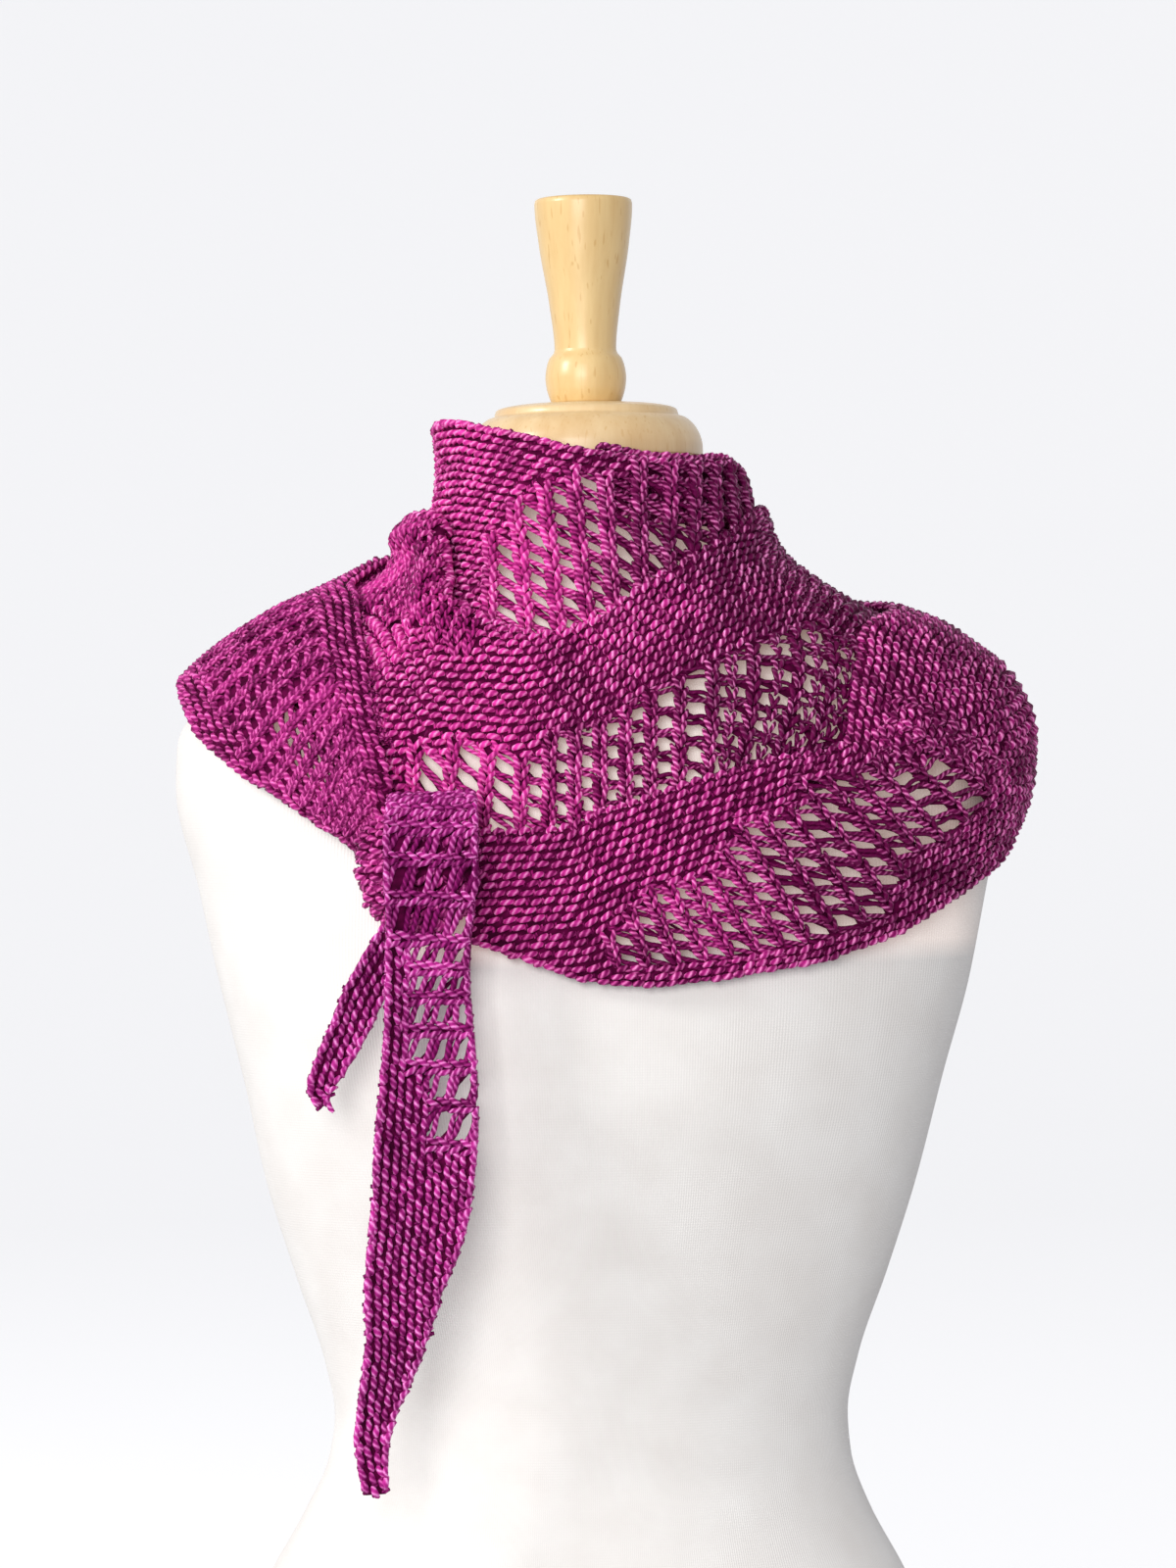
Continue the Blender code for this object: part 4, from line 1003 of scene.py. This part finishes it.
# The cape's yarn colours are a darker copy of MAGENTA's, painted shade.
CAPE = dict(
    dark=(0.10, 0.0007, 0.043, 1), light=(0.74, 0.034, 0.36, 1), bright=(1.0, 0.34, 0.70, 1), rightward_shade=1.5
)
CAPE_FRONT = table(
    STATION,
    (0, -27, 0.503, -25, 0.459, 0.011, 0.008, 0.005),
    (2, -17, 0.503, -12, 0.449, 0.011, 0.008, 0.0045),
    (4, -7, 0.504, -1, 0.441, 0.011, 0.008, 0.004),
    (6, 2, 0.511, 12, 0.439, 0.011, 0.008, 0.004),
    (8, 9, 0.515, 24, 0.441, 0.011, 0.008, 0.004),
    (10, 16, 0.52, 34, 0.4445, 0.011, 0.008, 0.0045),
    (12, 26, 0.5265, 43, 0.448, 0.011, 0.0085, 0.005),
    (13.5, 33, 0.53, 50, 0.454, 0.011, 0.009, 0.0055),
    (15, 40, 0.535, 57, 0.461, 0.011, 0.0095, 0.006),
    (16.5, 46, 0.537, 63.5, 0.4715, 0.011, 0.01, 0.0065),
    (18, 51, 0.541, 69.5, 0.481, 0.011, 0.0105, 0.007),
    (19.5, 53.5, 0.555, 78, 0.495, 0.011, 0.011, 0.007),
    (21, 56, 0.568, 84, 0.512, 0.011, 0.0115, 0.007),
    (22.5, 60, 0.58, 88, 0.53, 0.011, 0.012, 0.008),
    (24, 68, 0.592, 91, 0.547, 0.011, 0.013, 0.0095),
    (26, 95, 0.6, 95, 0.556, 0.0115, 0.013, 0.011),
)
CAPE_FOLDS = table(
    FOLD,
    (18.0, 0.05, 24.0, 0.55, 0.012, 0.0030), (20.0, 0.20, 25.0, 0.20, 0.010, 0.0020),
    (2.0, 0.30, 16.0, 0.20, 0.014, 0.0015),
)
CAPE_BAND = (
    (5.0, 7.2, 8.4), (6.0, 5.8, 8.4), (8.0, 4.2, 8.4), (10.0, 3.8, 8.4),
    (12.0, 2.4, 8.4), (14.0, 1.7, 8.0), (16.5, 0.9, 6.4),
)
CAPE_LACE = table(LACE, *CAPE_BAND, (21.0, 0.9, 6.0))
CAPE_OPEN = table(LACE, *CAPE_BAND, (18.0, 1.5, 6.0), (19.5, 3.0, 6.0))
CAPE_SPLIT = ((0.0, 4.5, 5.5, 26.0), (1.0, 1.0, 0.75, 0.55))
skin = wound(CAPE_FRONT, 9, CAPE_FOLDS)
stitched = garter(skin, [CAPE_OPEN], 0.0040, 0.0064, guides=(0, 1), split=CAPE_SPLIT, like=0.2)
stitched += chains(skin, [CAPE_LACE]) + bars(skin, [CAPE_LACE], size=1.15, parts=(-0.14, 0.14))
stitched += hem(skin, 1.0)
knitted("cape_front", skin, [CAPE_OPEN], stitched, CAPE)

# The cape's back hangs over both shoulders and lowest in the middle, in two shallow folds. It joins the
# front's garter rows and repeats the lace in one long band.

CAPE_BACK = table(
    STATION,
    (0, 95, 0.6, 95, 0.556, 0.0115, 0.013, 0.011),
    (3, 118, 0.604, 116, 0.532, 0.0115, 0.0105, 0.007),
    (6, 140, 0.608, 138, 0.51, 0.0115, 0.009, 0.005),
    (9, 165, 0.612, 165, 0.494, 0.0115, 0.0085, 0.004),
    (12, 190, 0.614, 190, 0.49, 0.0115, 0.0085, 0.004),
    (15, 215, 0.616, 217, 0.502, 0.012, 0.009, 0.005),
    (18, 240, 0.623, 243, 0.53, 0.0125, 0.0105, 0.007),
    (20, 265, 0.625, 265, 0.573, 0.013, 0.0135, 0.012),
)
BACK_FOLDS = table(
    FOLD,
    (2.0, 0.20, 10.0, 0.45, 0.014, 0.0030), (9.0, 0.15, 18.0, 0.35, 0.012, 0.0025),
)
CAPE_BACK_LACE = table(LACE, (1.0, 3.0, 8.0), (9.0, 3.0, 10.0), (18.0, 3.0, 7.0))
BACK_SPLIT = ((0.0, 20.0), (0.55, 0.55))
skin = wound(CAPE_BACK, 12, BACK_FOLDS)
stitched = garter(skin, [CAPE_BACK_LACE], 0.0041, 0.0065, guides=(0, 1), split=BACK_SPLIT)
stitched += chains(skin, [CAPE_BACK_LACE]) + bars(skin, [CAPE_BACK_LACE]) + hem(skin, 1.0)
knitted("cape_back", skin, [CAPE_BACK_LACE], stitched, CAPE)

# The left drape is the end that comes over the left shoulder down to the knot, its upper edge rolled and
# creased against the cowl. Nearly all of it is fine mesh, drawn out so that its ribs lie closer together.

# A much darker copy of the yarn's colours for the drape and the knot, painted shade.
DEEP = dict(
    dark=(0.085, 0.0006, 0.038, 1), light=(0.52, 0.028, 0.26, 1), bright=(1.0, 0.22, 0.62, 1), rightward_shade=1.0
)
LEFT_DRAPE = table(
    STATION,
    (0, -95, 0.625, -95, 0.573, 0.013, 0.0135, 0.012),
    (2, -80, 0.613, -86, 0.571, 0.013, 0.014, 0.0115),
    (4, -68, 0.607, -79, 0.565, 0.013, 0.0135, 0.0105),
    (5.5, -61, 0.599, -74, 0.555, 0.0125, 0.012, 0.009),
    (7, -56, 0.589, -69, 0.545, 0.012, 0.0115, 0.008),
    (8.5, -52, 0.579, -64, 0.534, 0.012, 0.011, 0.008),
    (10, -49.5, 0.568, -59, 0.526, 0.012, 0.011, 0.008),
    (12, -46.5, 0.552, -53.5, 0.515, 0.012, 0.011, 0.0085),
    (14, -43.5, 0.535, -49, 0.507, 0.0125, 0.0125, 0.011),
    (16, -41, 0.516, -46, 0.5, 0.0118, 0.011, 0.011),
    (18, -38, 0.506, -42, 0.489, 0.0078, 0.0076, 0.0078),
)
DRAPE_FOLDS = table(
    FOLD,
    (1.0, 0.35, 15.0, 0.50, 0.012, 0.0015), (2.0, 0.70, 12.0, 0.85, 0.010, -0.0010),
)
DRAPE_MESH = table(
    LACE,
    (1.4, 4.0, 8.0), (2.9, 2.4, 9.6), (7.2, 1.6, 10.4), (14.4, 2.4, 10.6), (19.4, 3.4, 10.0),
)
DRAPE_OPEN = table(
    LACE,
    (8.6, 6.2, 7.0), (10.1, 4.0, 8.4), (13.0, 3.4, 8.8), (15.8, 4.4, 8.0), (17.3, 5.2, 6.4),
)
DRAPE_CLOSER = 1.15
CREASE_FALL = np.array([0.008, -0.001, -0.010])
skin = wound(LEFT_DRAPE, 12, DRAPE_FOLDS)
skin.ribs = skin.ribs * DRAPE_CLOSER
stitched = garter(skin, [DRAPE_MESH], spacing=0.0042, pitch=0.0062)
stitched += chains(skin, [DRAPE_MESH], size=1.05, wide=0.7)
stitched += bars(skin, [DRAPE_MESH], size=1.5, parts=(0.0,), lit=0.9) + hem(skin, 1.0)
crease_rib, fall = np.meshgrid(np.arange(0, 14.1, 0.5), np.linspace(0, 1, 6), indexing="ij")
crease = skin.at(crease_rib, -1 + 0 * crease_rib) + fall[..., None] * CREASE_FALL
stitched += garter(Skin(crease, crease_rib[:, 0], np.linspace(0, 1, 6), 2), [], spacing=0.0040, pitch=0.0060)
knitted("left_drape", skin, [DRAPE_OPEN], stitched, DEEP)

# The knot at the front, where the shawl's two ends are tied: a few flattened wraps drawn tight. It is a bunch
# of cloth, so it is a rounded core with shallow grooves between the wraps, and the stitches lie on that.

KNOT_CENTRE = (-0.0785, -0.1269, 0.4900)
KNOT_HALF_SIZE = (0.0260, 0.0095, 0.0270)
KNOT_BOXY = 0.8
KNOT_WIDENS = 0.18
KNOT_GROOVES = 4
KNOT_GROOVE_DEPTH = 0.0012
KNOT_TURN = np.radians(-13.0)
KNOT_WRAP_LINES = (0.42, 0.455, 0.49, 0.525, 0.56)
side_angle, fall = np.meshgrid(
    np.radians(np.linspace(-180, 180, 97)), np.radians(np.linspace(86, -86, 65)), indexing="ij"
)
direction = np.stack(
    [np.cos(fall) * np.sin(side_angle), -np.cos(fall) * np.cos(side_angle), np.sin(fall)], -1
)
full = np.sign(direction) * np.abs(direction) ** KNOT_BOXY
up = full[..., 2:]
groove = KNOT_GROOVE_DEPTH * np.cos(np.pi * KNOT_GROOVES * up) * (1 - up**2)
widened = np.array(KNOT_HALF_SIZE) * np.concatenate([1 + KNOT_WIDENS * up, np.ones(up.shape[:2] + (2,))], -1)
cosine, sine = np.cos(KNOT_TURN), np.sin(KNOT_TURN)
turned_axes = np.array([[cosine, sine, 0], [-sine, cosine, 0], [0, 0, 1]])
points = np.array(KNOT_CENTRE) + (full * widened + direction * groove) @ turned_axes
skin = Skin(points, np.linspace(0, 12, 97), np.linspace(0, 1, 65), 8)
core_points = points[:-1].transpose(1, 0, 2)[::-1]
knot_core = piece("knot_core", core_points, wrapped(core_points.shape[:2], True), painted_shade_backing("knot_under"))
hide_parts("knot")
stitched = garter(skin, [], spacing=0.0040, pitch=0.0060)
for way in KNOT_WRAP_LINES:
    stitched += hem(skin, way, (3.0, 6.0))
knot_yarn = threads("knot_stitches", stitched, yarn("knot_threads", **DEEP))

# The long tail folds over the knot and hangs to the waist. It is lace at its top and close knitting lower
# down, with upright columns of stitches, and narrows to a point.

PATH = "step across depth height half_width bulge"
# A darker, more purple copy of the yarn's colours for the tails; the darkness is painted shade.
PURPLE = dict(
    dark=(0.11, 0.0008, 0.056, 1), light=(0.60, 0.032, 0.34, 1), bright=(1.0, 0.36, 0.80, 1), rightward_shade=1.0
)
TAIL_INSET = 0.0007


def ribbon(path, ribs_down, rows):
    """The surface of a hanging tail, its ribs across it."""
    ribs = np.arange(0, ribs_down + 0.01, 1 / LINES_TO_RIB)
    place = read(path, "step", ribs * path["step"][-1] / ribs_down)
    middle = np.stack([place["across"], place["depth"], place["height"]], -1)
    ahead = unit(np.gradient(middle, axis=0))
    side = unit(np.array([1.0, 0.0, 0.0]) - ahead[:, :1] * ahead)
    front = np.cross(side, ahead)
    ways = np.linspace(0, 1, 33)
    off = (2 * ways - 1)[None, :, None]
    points = middle[:, None] + side[:, None] * off * place["half_width"][:, None, None]
    points = points + front[:, None] * (1 - off**2) * place["bulge"][:, None, None]
    return Skin(points, ribs, ways, rows, outward=-1)


LONG_TAIL = table(
    PATH,
    (0, -0.0700, -0.1225, 0.5195, 0.0165, 0.0000),
    (1, -0.0710, -0.1275, 0.5235, 0.0180, 0.0000),
    (2, -0.0715, -0.1350, 0.5215, 0.0190, 0.0005),
    (3, -0.0720, -0.1405, 0.5120, 0.0198, 0.0015),
    (4, -0.0725, -0.1440, 0.4900, 0.0200, 0.0030),
    (5, -0.0740, -0.1420, 0.4600, 0.0178, 0.0040),
    (6, -0.0750, -0.1410, 0.4400, 0.0180, 0.0040),
    (7, -0.0746, -0.1400, 0.4165, 0.0194, 0.0040),
    (8, -0.0753, -0.1385, 0.3900, 0.0212, 0.0040),
    (9, -0.0771, -0.1370, 0.3620, 0.0220, 0.0040),
    (10, -0.0805, -0.1350, 0.3350, 0.0207, 0.0040),
    (11, -0.0872, -0.1330, 0.3070, 0.0170, 0.0035),
    (12, -0.0925, -0.1310, 0.2765, 0.0124, 0.0030),
    (13, -0.1003, -0.1290, 0.2500, 0.0082, 0.0020),
    (14, -0.1029, -0.1280, 0.2320, 0.0066, 0.0010),
    (15, -0.1018, -0.1270, 0.2120, 0.0046, 0.0000),
)
TAIL_BAND = ((8.6, 1.0, 4.0), (11.5, 1.4, 4.0), (13.0, 2.0, 4.0), (14.4, 2.8, 4.0))
TAIL_LACE = table(LACE, (1.0, 0.0, 4.0), (7.4, 0.0, 4.0), *TAIL_BAND)
TAIL_OPEN = table(LACE, (1.0, 1.0, 4.0), *TAIL_BAND)
skin = ribbon(LONG_TAIL, 24, 4)
stitched = garter(skin, [TAIL_LACE], 0.0040, 0.0060, like=0.5, turn=0.5, inset=TAIL_INSET)
stitched += chains(skin, [TAIL_LACE], size=1.1) + bars(skin, [TAIL_LACE], -1, size=1.45, parts=(-0.15, 0.15))
stitched += hem(skin, 0.0) + hem(skin, 1.0)
knitted("long_tail", skin, [TAIL_OPEN], stitched, PURPLE, slant=-1)

# The short tail comes out below the knot, close knitting in upright columns with a furrow between them, and
# ends in a loose end of yarn.

SHORT_TAIL = table(
    PATH,
    (0, -0.0890, -0.1265, 0.4644, 0.0060, 0.0000),
    (1, -0.0962, -0.1265, 0.4490, 0.0078, 0.0010),
    (2, -0.1041, -0.1260, 0.4350, 0.0084, 0.0015),
    (3, -0.1115, -0.1250, 0.4190, 0.0076, 0.0015),
    (4, -0.1195, -0.1230, 0.4040, 0.0066, 0.0010),
    (5, -0.1240, -0.1220, 0.3930, 0.0048, 0.0005),
    (6, -0.1235, -0.1215, 0.3860, 0.0018, 0.0000),
)
LOOSE_END = (
    (-0.1240, -0.1225, 0.3930),
    (-0.1222, -0.1228, 0.3905),
    (-0.1208, -0.1226, 0.3885),
    (-0.1196, -0.1226, 0.3850),
    (-0.1182, -0.1228, 0.3835),
)
LOOSE_RADII = (0.0011, 0.0013, 0.0012, 0.0014, 0.0009)
skin = ribbon(SHORT_TAIL, 10, 2)
towards_front = np.broadcast_to((0.0, -1.0, 0.0), (1, 5, 3))
loose_end = strands(np.array([LOOSE_END]), towards_front, np.array([LOOSE_RADII]))
stitched = garter(skin, [], 0.0040, 0.0060, like=0.5, turn=0.5, inset=TAIL_INSET)
stitched += hem(skin, 0.0) + hem(skin, 1.0) + [loose_end]
knitted("short_tail", skin, [], stitched, PURPLE)

# A pale paper floor that curves up into the backdrop all round, a large soft light on the left and another in
# front, and the camera level with the front of the shawl.

FLOOR_REACH = 4.5
CURVE = 3.5
WALL_TOP = 9.0
bend = np.radians(np.arange(10, 91, 10))
sweep_radii = np.concatenate([[0.0, FLOOR_REACH], FLOOR_REACH + CURVE * np.sin(bend), [FLOOR_REACH + CURVE]])
sweep_heights = np.concatenate([[0.0, 0.0], CURVE - CURVE * np.cos(bend), [WALL_TOP]])
around = np.radians(np.arange(0, 360, 5))[None]
sweep_points = np.stack(
    [
        sweep_radii[:, None] * np.cos(around) + 0.0001,
        sweep_radii[:, None] * np.sin(around),
        sweep_heights[:, None] + 0 * around,
    ],
    -1,
)
paper, start = material(
    "paper",
    Base_Color=(0.80, 0.80, 0.81, 1),
    Roughness=0.95,
    Emission_Color=(0.99, 0.99, 1.0, 1),
    Emission_Strength=0.45,
)
sweep_mesh = bpy.data.meshes.new("sweep")
sweep_mesh.from_pydata(sweep_points.reshape(-1, 3).tolist(), [], wrapped(sweep_points.shape[:2], False))
sweep_mesh.shade_smooth()
sweep_mesh.materials.append(paper)
sweep = bpy.data.objects.new("sweep", sweep_mesh)
sweep.visible_diffuse = False
sweep.visible_shadow = False
bpy.context.scene.collection.objects.link(sweep)

world = bpy.data.worlds.new("room")
world.use_nodes = True
background = world.node_tree.nodes["Background"]
background.inputs["Color"].default_value = (0.95, 0.96, 1.0, 1)
background.inputs["Strength"].default_value = 0.48
bpy.context.scene.world = world


LIT_PLACE = (0, 0, 0.5)


def soft_light(name, place, size, power, colour):
    """A square light that faces the middle of the shawl."""
    light = bpy.data.lights.new(name, "AREA")
    light.size, light.energy, light.color = size, power, colour
    lamp = bpy.data.objects.new(name, light)
    lamp.location = place
    across, depth, rise = np.array(LIT_PLACE) - np.array(place)
    tilt = np.arctan2(np.hypot(across, depth), -rise)
    lamp.rotation_euler = (tilt, 0, np.arctan2(depth, across) - np.pi / 2)
    lamp.visible_camera = False
    bpy.context.scene.collection.objects.link(lamp)
    return lamp


key = soft_light("key", (-3.2, -1.5, 2.3), 1.0, 84, (1, 0.985, 0.96))
fill = soft_light("fill", (-0.9, -4.0, 1.3), 2.0, 98, (1, 0.99, 0.975))

view = bpy.data.cameras.new("view")
view.sensor_fit = "VERTICAL"
view.sensor_height = 36.0
view.lens = 136.96
camera = bpy.data.objects.new("view", view)
camera.location = (-0.00184, -2.8, 0.529)
camera.rotation_euler = (np.pi / 2, 0.015, 0.0)
bpy.context.scene.collection.objects.link(camera)
bpy.context.scene.camera = camera
bpy.context.scene.view_settings.view_transform = "Standard"
